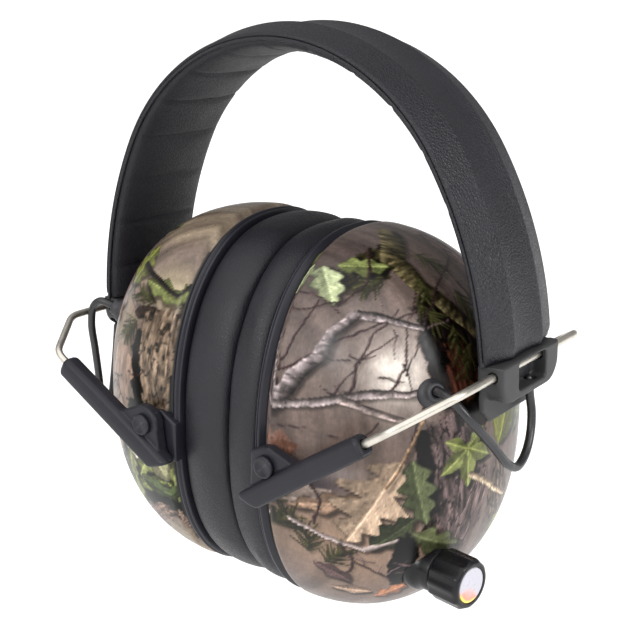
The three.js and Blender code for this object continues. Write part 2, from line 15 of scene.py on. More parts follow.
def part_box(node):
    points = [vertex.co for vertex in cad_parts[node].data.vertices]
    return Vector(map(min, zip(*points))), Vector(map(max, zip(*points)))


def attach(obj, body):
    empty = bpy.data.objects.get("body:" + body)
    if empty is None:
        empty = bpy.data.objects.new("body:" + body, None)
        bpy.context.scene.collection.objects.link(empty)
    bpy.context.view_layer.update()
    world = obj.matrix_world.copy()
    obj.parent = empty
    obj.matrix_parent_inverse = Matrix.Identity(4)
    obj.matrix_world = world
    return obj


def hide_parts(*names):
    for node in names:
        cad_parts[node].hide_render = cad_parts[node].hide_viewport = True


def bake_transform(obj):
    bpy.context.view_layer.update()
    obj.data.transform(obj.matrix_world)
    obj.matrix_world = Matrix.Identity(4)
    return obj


MM = 0.001
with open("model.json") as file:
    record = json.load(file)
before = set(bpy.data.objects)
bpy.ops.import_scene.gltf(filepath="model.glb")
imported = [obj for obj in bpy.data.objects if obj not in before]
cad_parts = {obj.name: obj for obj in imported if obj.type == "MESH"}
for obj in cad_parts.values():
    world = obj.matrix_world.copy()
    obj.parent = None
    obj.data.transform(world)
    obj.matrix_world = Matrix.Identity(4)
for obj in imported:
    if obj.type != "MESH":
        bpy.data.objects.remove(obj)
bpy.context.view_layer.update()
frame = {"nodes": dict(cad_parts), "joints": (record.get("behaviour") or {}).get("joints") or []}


def node_box(node):
    """A CAD node's corners in millimetres."""
    return [np.array(corner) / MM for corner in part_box(node)]


# ---- places and sizes, read from the frame ----------------------------------------------------
JOINTS = {j["name"]: j for j in frame["joints"]}
SIDES = {"right": 1, "left": -1}
SHELL_LOW, SHELL_HIGH = node_box("cup_shell_right")
PIN_LOW, PIN_HIGH = node_box("pivot_pin_front_right")
MIDDLE_X = (SHELL_LOW[0] + node_box("cup_shell_left")[1][0]) / 2
PIVOT_Z = (PIN_LOW[2] + PIN_HIGH[2]) / 2
PIVOT_X = (PIN_LOW[0] + PIN_HIGH[0]) / 2 - MIDDLE_X
RIM_X = SHELL_LOW[0] - MIDDLE_X
DEPTH = SHELL_HIGH[0] - SHELL_LOW[0]
HALF_Y = SHELL_HIGH[1]
HALF_Z = SHELL_HIGH[2] - PIVOT_Z
STAND_Z = -PIVOT_Z
CUP_POWER = 2.3  # exponent of the cup's superellipsoid
WALL = 2.4

# ---- driving dimensions of what the frame's boxes don't give, as in the CAD source ------------
ARCH = {"radius": 62.5, "centre": 46.1, "angle": math.radians(60), "side_radius": 115.0}
LEAN, LEAN_HEIGHT = math.radians(3.2), 28.0
BAND_END = 26.0  # height above the pivots where the cover meets the end cap
BAND_HALF = 18.5
CAP = {"outer": 72.8, "inner": 65.4, "bottom": 15.0, "half": 16.5, "corner": 6.5}
TONGUE = {"inner": 65.8, "outer": 67.2, "bottom": 9.2, "half": 16.0}
WINDOW = {"half": 7.75, "low": 17.2, "high": 24.9, "depth": 4.6, "y": 0.8}
CROSSBAR = (70.1, 23.0)
WIRE = 1.1
YOKE = {"corner": 32.4, "bend": -12.0, "end": -61.0, "round": 3.0}
BAR = {"y": 47.6, "drop": 6.0, "radius": 3.0, "back": -13.8, "front": 33.2}
RING = {"low": 13.9, "high": 17.3}
BLOCK_OUTLINE = [(13.9, -11), (22, -11), (28.6, -5.5), (29, -1.2), (25.6, 2.7), (19.6, 3.7), (13.9, 0.8)]
CUSHION = {"low": 0.15, "high": 13.7, "inset": 0.7, "ear_y": 20.0, "ear_z": 29.0}
MEET = 2.5  # the fuller left cushion presses the right one back by this much
DOOR = {"y": 24.0, "low": -38.0, "high": -13.0, "gap": 0.4}
LEAD_RADIUS = 1.2
GLAND = {"y": 23.0, "z": 21.5, "yaw": 32.0, "pitch": 24.0}
# shares of a lead's length where its three pieces meet
LEAD_SPLITS = {"right": (0.55, 0.80), "left": (0.26, 0.80)}
LEAD_ENTRY = {"right": (69.2, 5.4), "left": (70.1, 13.6)}  # x and y of the hole under each end cap
LEAD_ROUTES = {
    "right": [
        (57.9, -23.8, 22.2), (60.4, -25.6, 23.5), (64.8, -27.3, 23), (69.2, -26, 18.8),
        (72.2, -18.5, 10.2), (73.8, -11.3, 2.5), (73.9, -6.1, 0.1), (73.1, -0.1, 1.4),
        (72, 4.4, 5.6), (71, 6.3, 10.9), (70.1, 6.4, 15.3), (69.7, 5.4, 20.6),
    ],
    "left": [
        (57.9, 23.77, 22.15), (60.1, 25.18, 23.33), (62.8, 26.3, 24), (65.8, 26.6, 21.8),
        (67.8, 26, 15.6), (68.8, 24, 6), (69.4, 22.2, -5), (69.7, 21.2, -12.5), (69.8, 19.4, -15.6),
        (69.8, 17.2, -13.4), (69.7, 15.6, -6), (69.5, 14.4, 3), (69.3, 13.6, 11.4),
    ],
}


# ---- camera -----------------------------------------------------------------------------------
def make_camera(azimuth=37.0, elevation=16.73, roll=1.11, distance=335.65, target=(-0.44, 0.0, 82.95)):
    """The camera of the main view: it looks at the target from a distance, turned by three angles."""
    a, e, r = (math.radians(v) for v in (azimuth, elevation, roll))
    back = Vector((math.sin(a) * math.cos(e), -math.cos(a) * math.cos(e), math.sin(e)))
    level = Vector((math.cos(a), math.sin(a), 0))
    above = back.cross(level)
    right = level * math.cos(r) + above * math.sin(r)
    up = above * math.cos(r) - level * math.sin(r)
    camera = bpy.data.objects.new("camera", bpy.data.cameras.new("camera"))
    bpy.context.scene.collection.objects.link(camera)
    place = Matrix((right, up, back)).transposed().to_4x4()
    place.translation = (Vector(target) + back * distance) * MM
    camera.matrix_world = place
    camera.data.lens, camera.data.sensor_width = 64.6, 36
    camera.data.shift_x, camera.data.shift_y = 0.0033, -0.0025
    camera.data.clip_start, camera.data.clip_end = 0.01, 50
    bpy.context.scene.camera = camera


make_camera()


# ---- mesh helpers -----------------------------------------------------------------------------
def signed_power(value, power):
    return np.sign(value) * np.abs(value) ** power


def oval(half_y, half_z, steps, power=CUP_POWER):
    """(y, z) points of a superellipse."""
    angle = np.linspace(0, 2 * math.pi, steps, endpoint=False)
    return np.stack([half_y * signed_power(np.cos(angle), 2 / power),
                     half_z * signed_power(np.sin(angle), 2 / power)], axis=1)


def on_cup(side, points):
    """Cup coordinates (outwards, y, z from the pivots) of one side, in the row frame."""
    p = np.asarray(points, float)
    s = SIDES[side]
    return np.stack([MIDDLE_X + s * p[..., 0], s * p[..., 1], PIVOT_Z + p[..., 2]], axis=-1)


def on_headband(points):
    """Headband coordinates, before its lean, in the row frame."""
    p = np.asarray(points, float)
    c, s = math.cos(LEAN), math.sin(LEAN)
    dz = p[..., 2] - LEAN_HEIGHT
    return np.stack([MIDDLE_X + p[..., 0] * c - dz * s, p[..., 1],
                     PIVOT_Z + LEAN_HEIGHT + p[..., 0] * s + dz * c], axis=-1)


def yoke_axes(side):
    """Origin at the crossbar and the axes of a side's yoke: x away from the arms, y to its cup's +y."""
    origin = np.array(JOINTS[f"swing_{side}"]["pos_m"]) / MM
    x = -np.array(JOINTS[f"slide_{side}"]["axis"])
    y = np.array([0.0, SIDES[side], 0.0])
    return origin, x, y, np.cross(x, y)


def on_yoke(side, points, along=0.0):
    """Yoke coordinates of one side, moved along the legs, in the row frame."""
    p = np.asarray(points, float)
    origin, x, y, z = yoke_axes(side)
    return origin + (p[..., :1] + along) * x + p[..., 1:2] * y + p[..., 2:] * z


def grid_faces(rows, columns, wrap_rows=False):
    """Quads of a grid of points stored row after row, closed round its columns."""
    r = np.arange(rows if wrap_rows else rows - 1)[:, None]
    c = np.arange(columns)[None, :]
    r2, c2 = (r + 1) % rows, (c + 1) % columns
    quads = np.stack([r * columns + c, r * columns + c2, r2 * columns + c2, r2 * columns + c], axis=-1)
    return quads.reshape(-1, 4).tolist()


def new_mesh(name, points, faces):
    """An object from points in millimetres, with smooth faces that look outwards."""
    mesh = bpy.data.meshes.new(name)
    mesh.from_pydata((np.asarray(points, float).reshape(-1, 3) * MM).tolist(), [], faces)
    bm = bmesh.new()
    bm.from_mesh(mesh)
    bmesh.ops.recalc_face_normals(bm, faces=bm.faces)
    bm.to_mesh(mesh)
    bm.free()
    mesh.shade_smooth()
    piece = bpy.data.objects.new(name, mesh)
    bpy.context.scene.collection.objects.link(piece)
    return piece


def lofted(name, rings, closed_loop=False):
    """A closed skin through rings of points; flat caps close its two ends unless it is a loop."""
    rings = np.asarray(rings, float)
    count, around = rings.shape[:2]
    faces = grid_faces(count, around, wrap_rows=closed_loop)
    if not closed_loop:
        faces += [list(range(around))[::-1], [(count - 1) * around + k for k in range(around)]]
    return new_mesh(name, rings, faces)


def tube(name, line, radius, sides=16):
    """A round tube along a line of points, with domed ends."""
    line = np.asarray(line, float)
    tangent = np.gradient(line, axis=0)
    tangent /= np.linalg.norm(tangent, axis=1)[:, None]
    up = np.array([0.0, 0.0, 1.0])
    if abs(tangent[0] @ up) > 0.9:
        up = np.array([0.0, 1.0, 0.0])
    across = np.cross(up, tangent[0])
    angle = np.linspace(0, 2 * math.pi, sides, endpoint=False)
    rings = []
    for i, (point, along) in enumerate(zip(line, tangent)):
        across = across - (across @ along) * along
        across /= np.linalg.norm(across)
        other = np.cross(along, across)
        circle = np.cos(angle)[:, None] * across + np.sin(angle)[:, None] * other
        rounds = [(0, 1.0)]
        if i == 0:
            rounds = [(-math.cos(t), math.sin(t)) for t in (0.25, 0.7, 1.15)] + rounds
        if i == len(line) - 1:
            rounds = rounds + [(math.cos(t), math.sin(t)) for t in (1.15, 0.7, 0.25)]
        rings += [point + along * radius * a + circle * radius * b for a, b in rounds]
    return lofted(name, rings)


def smooth_line(points, steps):
    """A centripetal Catmull-Rom curve through points, as in the CAD source, at even spacing."""
    p = np.asarray(points, float)
    p = np.vstack([2 * p[0] - p[1], p, 2 * p[-1] - p[-2]])
    out = []
    for i in range(1, len(p) - 2):
        a, b, c, d = p[i - 1:i + 3]
        t = np.cumsum([0] + [np.linalg.norm(v) ** 0.5 for v in (b - a, c - b, d - c)])
        for s in np.linspace(t[1], t[2], 24, endpoint=i == len(p) - 3):
            a1 = (t[1] - s) / (t[1] - t[0]) * a + (s - t[0]) / (t[1] - t[0]) * b
            a2 = (t[2] - s) / (t[2] - t[1]) * b + (s - t[1]) / (t[2] - t[1]) * c
            a3 = (t[3] - s) / (t[3] - t[2]) * c + (s - t[2]) / (t[3] - t[2]) * d
            b1 = (t[2] - s) / (t[2] - t[0]) * a1 + (s - t[0]) / (t[2] - t[0]) * a2
            b2 = (t[3] - s) / (t[3] - t[1]) * a2 + (s - t[1]) / (t[3] - t[1]) * a3
            out.append((t[2] - s) / (t[2] - t[1]) * b1 + (s - t[1]) / (t[2] - t[1]) * b2)
    out = np.array(out)
    along = np.concatenate([[0], np.cumsum(np.linalg.norm(np.diff(out, axis=0), axis=1))])
    at = np.linspace(0, along[-1], steps)
    return np.stack([np.interp(at, along, out[:, k]) for k in range(3)], axis=1), along[-1]


def turned(name, profile, place, steps=48):
    """A lathe piece: (radius, height) profile round an axis, put in the row frame by place."""
    angle = np.linspace(0, 2 * math.pi, steps, endpoint=False)
    rings = [np.stack([r * np.cos(angle), r * np.sin(angle), np.full(steps, h)], axis=1) for r, h in profile]
    return lofted(name, [place(r) for r in rings])


def apply_modifiers(piece):
    """The piece's evaluated mesh becomes its mesh."""
    graph = bpy.context.evaluated_depsgraph_get()
    mesh = bpy.data.meshes.new_from_object(piece.evaluated_get(graph))
    old = piece.data
    piece.modifiers.clear()
    piece.data = mesh
    bpy.data.meshes.remove(old)
    mesh.shade_smooth()
    return piece


def moulded(name, solids, cuts=(), voxel=0.32, smooth=5):
    """Solids joined, cut and softened into one moulded shape with small fillets."""
    bm = bmesh.new()
    for s in solids:
        bm.from_mesh(s.data)
        bpy.data.objects.remove(s)
    mesh = bpy.data.meshes.new(name)
    bm.to_mesh(mesh)
    bm.free()
    piece = bpy.data.objects.new(name, mesh)
    bpy.context.scene.collection.objects.link(piece)
    joined = piece.modifiers.new("joined", "REMESH")
    joined.mode, joined.voxel_size = "VOXEL", voxel * MM
    for tool in cuts:
        cut = piece.modifiers.new("cut", "BOOLEAN")
        cut.operation, cut.object, cut.solver = "DIFFERENCE", tool, "EXACT"
    if cuts:
        again = piece.modifiers.new("again", "REMESH")
        again.mode, again.voxel_size = "VOXEL", voxel * MM
    soften = piece.modifiers.new("soften", "SMOOTH")
    soften.factor, soften.iterations = 0.5, smooth
    bpy.context.view_layer.update()
    apply_modifiers(piece)
    for tool in cuts:
        bpy.data.objects.remove(tool)
    return piece


def block(name, place, low, high, round_edge):
    """A closed box between two corners with rounded edges, put in the row frame by place."""
    low, high = np.array(low, float), np.array(high, float)
    bm = bmesh.new()
    bmesh.ops.create_cube(bm, size=1)
    for v in bm.verts:
        v.co = Vector((low + high) / 2 + np.array(v.co) * (high - low))
    bmesh.ops.bevel(bm, geom=bm.edges[:], offset=round_edge, segments=3, profile=0.5, affect="EDGES")
    points = [tuple(v.co) for v in bm.verts]
    faces = [[v.index for v in f.verts] for f in bm.faces]
    bm.free()
    return new_mesh(name, place(np.array(points)), faces)


def plate(name, place, outline, low, high, axis, bevel=0.5):
    """A closed plate: an outline of 2-D points extruded along an axis, 0 or 1, with softened edges."""
    outline = np.array(outline, float)
    middle = outline.mean(0)
    rings = []
    for level, inset in ((low, bevel), (low + bevel * 0.3, bevel * 0.3), (low + bevel, 0), (high - bevel, 0),
                         (high - bevel * 0.3, bevel * 0.3), (high, bevel)):
        direction = outline - middle
        shrunk = outline - direction / np.linalg.norm(direction, axis=1)[:, None] * inset
        first, second = shrunk.T
        flat = np.full(len(outline), level)
        rings.append(np.stack([flat, first, second] if axis == 0 else [first, flat, second], axis=1))
    return lofted(name, [place(r) for r in rings])


def arc(centre, radius, start, end, steps):
    """Points of a circle's arc, angles in degrees."""
    t = np.radians(np.linspace(start, end, steps))
    return [(centre[0] + radius * math.cos(a), centre[1] + radius * math.sin(a)) for a in t]


def finish_piece(piece, material, body, replaces=()):
    piece.data.materials.clear()
    piece.data.materials.append(material)
    if body:
        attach(piece, body)
    if replaces:
        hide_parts(*replaces)
    return piece


# ---- materials --------------------------------------------------------------------------------
class Look:
    """A node material with a Principled shader. An input that is given a node or a socket is linked."""

    def __init__(self, name, colour, roughness, **shader):
        self.material = bpy.data.materials.new(name)
        self.material.use_nodes = True
        self.material.diffuse_color = (*colour, 1)
        self.tree = self.material.node_tree
        self.shader = self.tree.nodes["Principled BSDF"]
        self.set(self.shader, {"Base Color": (*colour, 1), "Roughness": roughness, **shader})
        self.place = self.add("TexCoord").outputs["Object"]

    def set(self, node, inputs):
        for key, value in inputs.items():
            socket = node.inputs[key]
            if isinstance(value, bpy.types.Node):
                value = value.outputs[0]
            if isinstance(value, bpy.types.NodeSocket):
                self.tree.links.new(value, socket)
            else:
                socket.default_value = value

    def add(self, kind, inputs=None, **settings):
        node = self.tree.nodes.new("ShaderNode" + kind)
        for key, value in settings.items():
            setattr(node, key, value)
        self.set(node, inputs or {})
        return node

    def noise(self, scale, detail=4, place=None, distortion=0.0):
        return self.add("TexNoise", {"Vector": place or self.place, "Scale": scale, "Detail": detail,
                                     "Roughness": 0.55, "Distortion": distortion}).outputs["Fac"]

    def cells(self, scale, place=None):
        inputs = {"Vector": place or self.place, "Scale": scale}
        node = self.add("TexVoronoi", inputs, feature="DISTANCE_TO_EDGE")
        return node.outputs["Distance"]

    def math(self, operation, a, b=0.0):
        node = self.add("Math", {0: a, 1: b}, operation=operation)
        return node.outputs[0]

    def ramp(self, value, low, high, to_low=0.0, to_high=1.0):
        node = self.add("MapRange", {"Value": value, "From Min": low, "From Max": high,
                                     "To Min": to_low, "To Max": to_high})
        return node.outputs[0]

    def mix(self, factor, a, b, blend="MIX"):
        node = self.add("Mix", data_type="RGBA", blend_type=blend)
        colours = [s for s in node.inputs if s.type == "RGBA"]
        for socket, value in ((node.inputs[0], factor), (colours[0], a), (colours[1], b)):
            if isinstance(value, bpy.types.NodeSocket):
                self.tree.links.new(value, socket)
            else:
                socket.default_value = (*value, 1) if isinstance(value, tuple) and len(value) == 3 else value
        return [s for s in node.outputs if s.type == "RGBA"][0]

    def bump(self, height, distance):
        node = self.add("Bump", {"Height": height, "Distance": distance * MM, "Strength": 1.0})
        self.set(self.shader, {"Normal": node.outputs[0]})

    def outward_edges(self):
        """1 on outward edges, 0 on flat faces."""
        return self.ramp(self.add("NewGeometry").outputs["Pointiness"], 0.52, 0.6)


def leatherette(name, colour, sheen_colour, grain=1.1, roughness=0.46, relief=0.09):
    """Fine grained synthetic leather: pebbled cells of the grain's size with creases between them."""
    look = Look(name, colour, roughness, **{"Specular IOR Level": 0.35})
    warp = look.noise(300, 3)
    place = look.add("VectorMath", {0: look.place, 1: look.add("VectorMath", {0: look.add(
        "TexNoise", {"Vector": look.place, "Scale": 350.0, "Detail": 2.0}).outputs["Color"],
        "Scale": 0.0012}, operation="SCALE").outputs[0]}, operation="ADD").outputs[0]
    pebbles = look.ramp(look.cells(1000 / grain, place=place), 0.0, 0.28)
    fine = look.cells(2300 / grain, place=place)
    height = look.math("ADD", look.math("MULTIPLY", pebbles, 0.7), look.math("MULTIPLY", fine, 0.6))
    height = look.math("ADD", height, look.math("MULTIPLY", warp, 0.9))
    look.bump(height, relief)
    blotch = look.noise(55, 5)
    tone = look.mix(look.ramp(blotch, 0.35, 0.7), colour, sheen_colour)
    creases = look.ramp(pebbles, 0, 0.5, 0.45, 0)
    look.set(look.shader, {"Base Color": look.mix(creases, tone, (0.012, 0.012, 0.015))})
    gloss = look.math("ADD", look.ramp(blotch, 0.3, 0.7, roughness - 0.05, roughness + 0.07),
                      look.ramp(pebbles, 0, 1, 0.16, 0))
    look.set(look.shader, {"Roughness": gloss})
    return look.material


def moulded_plastic(name, colour, roughness=0.42, relief=0.02, grain=2600.0):
    """Injection-moulded plastic: a spark-eroded grain, faint flow marks, slightly polished edges and a
    painted highlight on them.
    """
    look = Look(name, colour, roughness, **{"Specular IOR Level": 0.26})
    fine, flow = look.noise(grain, 2), look.noise(70, 4, distortion=0.6)
    edge = look.outward_edges()
    # painted highlight: the colour is lighter on outward edges; the lower roughness there is the polish
    painted_edge_highlight = tuple(min(1, c * 1.9 + 0.01) for c in colour)
    tone = look.mix(look.ramp(flow, 0.35, 0.7), colour, tuple(c * 1.25 for c in colour))
    look.set(look.shader, {"Base Color": look.mix(look.math("MULTIPLY", edge, 0.6), tone, painted_edge_highlight)})
    gloss = look.math("SUBTRACT", look.ramp(flow, 0.3, 0.7, roughness - 0.05, roughness + 0.06),
                      look.math("MULTIPLY", edge, 0.08))
    look.set(look.shader, {"Roughness": gloss})
    look.bump(fine, relief)
    return look.material


def wire_metal(name, colour, roughness=0.24):
    """Drawn and nickel-plated wire with fine marks and a few dull spots."""
    look = Look(name, colour, roughness, Metallic=1.0)
    marks, dull = look.noise(900, 5, distortion=1.2), look.noise(160, 4)
    tone = look.mix(look.ramp(dull, 0.45, 0.7), colour, tuple(c * 0.82 for c in colour))
    look.set(look.shader, {"Base Color": tone,
                           "Roughness": look.ramp(marks, 0.3, 0.7, roughness - 0.04, roughness + 0.06)})
    look.bump(marks, 0.004)
    return look.material


def rubber(name, colour, roughness=0.34):
    """Smooth cable jacket with dust-like unevenness."""
    look = Look(name, colour, roughness, **{"Specular IOR Level": 0.55})
    dust = look.noise(420, 5)
    tone = look.mix(look.ramp(dust, 0.5, 0.75), colour, tuple(c * 1.7 for c in colour))
    look.set(look.shader, {"Base Color": tone,
                           "Roughness": look.ramp(dust, 0.3, 0.75, roughness - 0.04, roughness + 0.14)})
    look.bump(dust, 0.02)
    return look.material


def foam_look(name, colour):
    look = Look(name, colour, 0.95)
    pores_and_shade = look.ramp(look.cells(900), 0.0, 0.25)
    # painted shade: the foam's colour is darkened in its pores, the low grooves of the bump
    look.set(look.shader, {"Base Color": look.mix(pores_and_shade, tuple(c * 0.3 for c in colour), colour)})
    look.bump(pores_and_shade, 0.3)
    return look.material


def board_look(name):
    """Solder mask with faint copper tracks under it."""
    look = Look(name, (0.03, 0.16, 0.06), 0.35)
    tracks = look.ramp(look.cells(260, place=look.place), 0.03, 0.06)
    look.set(look.shader, {"Base Color": look.mix(tracks, (0.07, 0.26, 0.1), (0.02, 0.12, 0.045)),
                           "Roughness": look.ramp(look.noise(300), 0.3, 0.7, 0.3, 0.45)})
    look.bump(tracks, 0.05)
    return look.material


def cell_look(name):
    """Plain dark sleeve of a battery cell with its metal ends."""
    look = Look(name, (0.05, 0.055, 0.07), 0.3)
    across = look.add("SeparateXYZ", {0: look.place}).outputs[1]
    ends = look.ramp(look.math("ABSOLUTE", across), 0.0198, 0.0202)  # metres from the middle
    look.set(look.shader, {"Base Color": look.mix(ends, (0.05, 0.055, 0.07), (0.6, 0.58, 0.52)),
                           "Metallic": ends,
                           "Roughness": look.ramp(look.noise(500), 0.3, 0.7, 0.25, 0.4)})
    return look.material


COVER = leatherette("band_leatherette", (0.006, 0.006, 0.009), (0.010, 0.010, 0.014), grain=1.0,
                    roughness=0.35,
                    relief=0.12)
LINING = leatherette("lining_leatherette", (0.010, 0.009, 0.012), (0.015, 0.014, 0.018), grain=0.9,
                     roughness=0.55)
SKIN = leatherette("cushion_leatherette", (0.006, 0.006, 0.009), (0.010, 0.010, 0.014), grain=0.9,
                   roughness=0.38,
                   relief=0.06)
PLASTIC = moulded_plastic("black_plastic", (0.011, 0.011, 0.015), 0.42)
CAP_PLASTIC = moulded_plastic("cap_plastic", (0.026, 0.026, 0.027), 0.46)
RING_PLASTIC = moulded_plastic("ring_plastic", (0.013, 0.013, 0.018), 0.40)
KNOB_PLASTIC = moulded_plastic("knob_plastic", (0.004, 0.004, 0.005), 0.26, relief=0.006)
NICKEL = wire_metal("nickel_wire", (0.60, 0.565, 0.50), 0.36)
STEEL = wire_metal("plain_steel", (0.55, 0.55, 0.56), 0.35)
JACKET = rubber("lead_rubber", (0.008, 0.008, 0.010))
BOOT = rubber("boot_rubber", (0.014, 0.014, 0.017), 0.48)
FOAM = foam_look("ear_foam", (0.04, 0.04, 0.042))


# ---- leads ------------------------------------------------------------------------------------
def cut_line(line, start, end):
    """The part of an evenly spaced line between two shares of its length."""
    n = len(line) - 1
    return line[round(start * n):round(end * n) + 1]


def make_lead(side):
    """A lead from the cup's gland to the end cap, in three pieces that meet on the arms and on the yoke."""
    line, _ = smooth_line(LEAD_ROUTES[side], 181)
    line = on_cup(side, line)
    first, last = LEAD_SPLITS[side]
    pieces, parts = [], []
    for name, shares, a, b in (
        ("cup_end", (0, first), f"cup_{side}", f"arms_{side}"),
        ("loop", (first, last), f"arms_{side}", f"yoke_{side}"),
        ("cap_end", (last, 1), f"yoke_{side}", "headband"),
    ):
        part = cut_line(line, *shares)
        piece = tube(f"lead_{side}_{name}", part, LEAD_RADIUS)
        finish_piece(piece, JACKET, None)
        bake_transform(piece)
        pieces.append(piece)
        parts.append(part)
    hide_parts(f"lead_{side}")


for side in SIDES:
    make_lead(side)


# ---- headband ---------------------------------------------------------------------------------
def arch_points(low, steps):
    """Evenly spaced (x, z) points of the arch from left to right, their outward normals and places."""
    base, normal = [], []
    for a in np.linspace(0, ARCH["angle"], 60):
        base.append((ARCH["radius"] * math.sin(a), ARCH["centre"] + ARCH["radius"] * math.cos(a)))
        normal.append((math.sin(a), math.cos(a)))
    shift = ARCH["radius"] - ARCH["side_radius"]
    cx, cz = shift * math.sin(ARCH["angle"]), ARCH["centre"] + shift * math.cos(ARCH["angle"])
    last = math.acos((low - cz) / ARCH["side_radius"])
    for a in np.linspace(ARCH["angle"], last, 60)[1:]:
        base.append((cx + ARCH["side_radius"] * math.sin(a), cz + ARCH["side_radius"] * math.cos(a)))
        normal.append((math.sin(a), math.cos(a)))
    mirror = np.array([-1, 1])
    base = np.vstack([np.array(base[:0:-1]) * mirror, base])
    normal = np.vstack([np.array(normal[:0:-1]) * mirror, normal])
    along = np.concatenate([[0], np.cumsum(np.linalg.norm(np.diff(base, axis=0), axis=1))])
    at = np.linspace(0, along[-1], steps)
    pick = lambda values: np.stack([np.interp(at, along, values[:, k]) for k in range(2)], axis=1)
    return pick(base), pick(normal), at


def arch_surface(section, steps=241):
    """Rings of points round the arch: section(place, total) gives (y, outward offset) points."""
    base, normal, along = arch_points(BAND_END, steps)
    rings = []
    for b, n, s in zip(base, normal, along):
        y, h = np.array(section(s, along[-1])).T
        x = b[0] + n[0] * h
        z = b[1] + n[1] * h
        rings.append(on_headband(np.stack([x, y, z], axis=1)))
    return np.array(rings)


def cover_section(s, total):
    """The cover's section: flat shoulders rise from rounded seams to two ridges with a hollow between."""
    end = min(s, total - s)
    tuck = 0.8 * math.exp(-((end / 1.6) ** 2))  # drawn in where the cap holds it
    u = np.linspace(-1, 1, 81)
    ridge, edge = 0.42, 0.93  # shares of the half width
    ridge_height, seam_height, hollow_depth, seam_drop = 2.75, 0.15, 0.75, 0.75
    distance = np.abs(u)
    shoulder = np.interp(distance, (ridge, edge), (ridge_height, seam_height))
    hollow = hollow_depth * np.clip(1 - (distance / ridge) ** 2, 0, 1) ** 0.8
    seam = np.clip((distance - edge) / (1 - edge), 0, 1)
    top = shoulder - hollow - seam_drop * (1 - np.sqrt(np.clip(1 - seam ** 2, 0, 1)))
    blur = np.array([1, 2, 1]) / 4
    top[1:-1] = np.convolve(top, blur, mode="valid")
    y = (BAND_HALF - tuck * 0.5) * u
    outer = list(zip(y, top - tuck))
    under = [(BAND_HALF - 0.15 - 0.3 * k - tuck * 0.5, -0.9 - 0.25 * k) for k in range(3)]
    floor = [(v, -1.5) for v in np.linspace(BAND_HALF - 1.6, -BAND_HALF + 1.6, 9)]
    return outer + under + floor + [(-a, b) for a, b in under[::-1]]


def make_band_cover():
    rings = arch_surface(cover_section)
    piece = lofted("headband_leather", rings)
    finish_piece(piece, COVER, "headband", ["headband_cover"])
    for name, y in (("front", -1), ("rear", 1)):
        edge = arch_surface(lambda s, total: [(y * (BAND_HALF - 0.35), -1.6)])[:, 0]
        finish_piece(tube(f"headband_piping_{name}", edge, 0.55, 10), COVER, "headband")


CHANNEL = 15.5  # spacing of the pad's stitched channels along the band


def make_band_pad():
    """The quilted pad: a thin sack held at its edges and stitched channels, swollen between them."""
    steps = 221
    across = 25
    base, normal, along = arch_points(BAND_END + 0.4, steps)
    total = along[-1]
    channels = np.abs((along - total / 2 + CHANNEL / 2) % CHANNEL - CHANNEL / 2)
    in_channel = np.exp(-((channels / 0.7) ** 2))
    half = BAND_HALF - 0.7
    u = np.linspace(-1, 1, across)
    crown = (1 - np.abs(u) ** 3.5) ** 0.6
    rings, held = [], []
    for b, n, c in zip(base, normal, in_channel):
        thick = (3.2 - 0.9 * c) * crown
        low_h = -1.75 - 0.35 - thick
        bottom = np.stack([half * u, low_h], axis=1)
        top = np.stack([half * u[::-1] * 0.985, np.full(across, -1.75)], axis=1)
        section = np.vstack([bottom, top])
        x = b[0] + n[0] * section[:, 1]
        z = b[1] + n[1] * section[:, 1]
        rings.append(on_headband(np.stack([x, section[:, 0], z], axis=1)))
        free = np.zeros(2 * across)
        free[2:across - 2] = 1
        held.append(1 - free * (1 - np.clip(c * 1.2, 0, 1)))
    held[0] = held[1] = held[-1] = held[-2] = np.ones(2 * across)
    piece = lofted("headband_quilt", rings)
    puff(piece, np.array(held).ravel(), pressure=4, cap=0.9)
    finish_piece(piece, LINING, "headband", ["headband_pad"])


SIM_SCALE = 8  # cloth runs on a copy this many times larger, where its stiffness suits


CLOTH_FRAMES = 20


def puff(piece, pinned, pressure, cap):
    """Cloth simulation: pressure swells a piece where it isn't pinned, by no more than cap.
    """
    scene = bpy.context.scene
    copy = piece.copy()
    copy.data = piece.data.copy()
    copy.data.transform(Matrix.Scale(SIM_SCALE, 4))
    scene.collection.objects.link(copy)
    group = copy.vertex_groups.new(name="held")
    for level in np.unique(np.round(pinned, 1)):
        group.add(np.flatnonzero(np.round(pinned, 1) == level).tolist(), float(level), "REPLACE")
    cloth = copy.modifiers.new("puff", "CLOTH")
    settings = cloth.settings
    settings.use_pressure, settings.uniform_pressure_force = True, pressure
    settings.vertex_group_mass, settings.pin_stiffness = "held", 1.0
    settings.quality, settings.mass = 6, 0.3
    settings.tension_stiffness = settings.compression_stiffness = 15
    settings.bending_stiffness = 0.5
    settings.effector_weights.gravity = 0
    cloth.collision_settings.use_collision = False
    cloth.point_cache.frame_start, cloth.point_cache.frame_end = 1, CLOTH_FRAMES
    for f in range(1, CLOTH_FRAMES + 1):
        scene.frame_set(f)
    graph = bpy.context.evaluated_depsgraph_get()
    simulated = copy.evaluated_get(graph).to_mesh()
    moved = np.zeros(len(simulated.vertices) * 3)
    simulated.vertices.foreach_get("co", moved)
    moved = moved.reshape(-1, 3) / SIM_SCALE
    copy.evaluated_get(graph).to_mesh_clear()
    bpy.data.objects.remove(copy)
    scene.frame_set(1)
    rest = np.array([v.co for v in piece.data.vertices])
    step = moved - rest
    size = np.linalg.norm(step, axis=1)[:, None]
    step *= np.minimum(1, cap * MM / np.maximum(size, 1e-9))
    piece.data.vertices.foreach_set("co", (rest + step).ravel())
    piece.data.update()


def cap_place(side):
    """Headband coordinates of the cap on one side, drawn on the right."""
    s = SIDES[side]
    return lambda p: on_headband(np.stack([s * p[..., 0], s * p[..., 1], p[..., 2]], axis=-1))


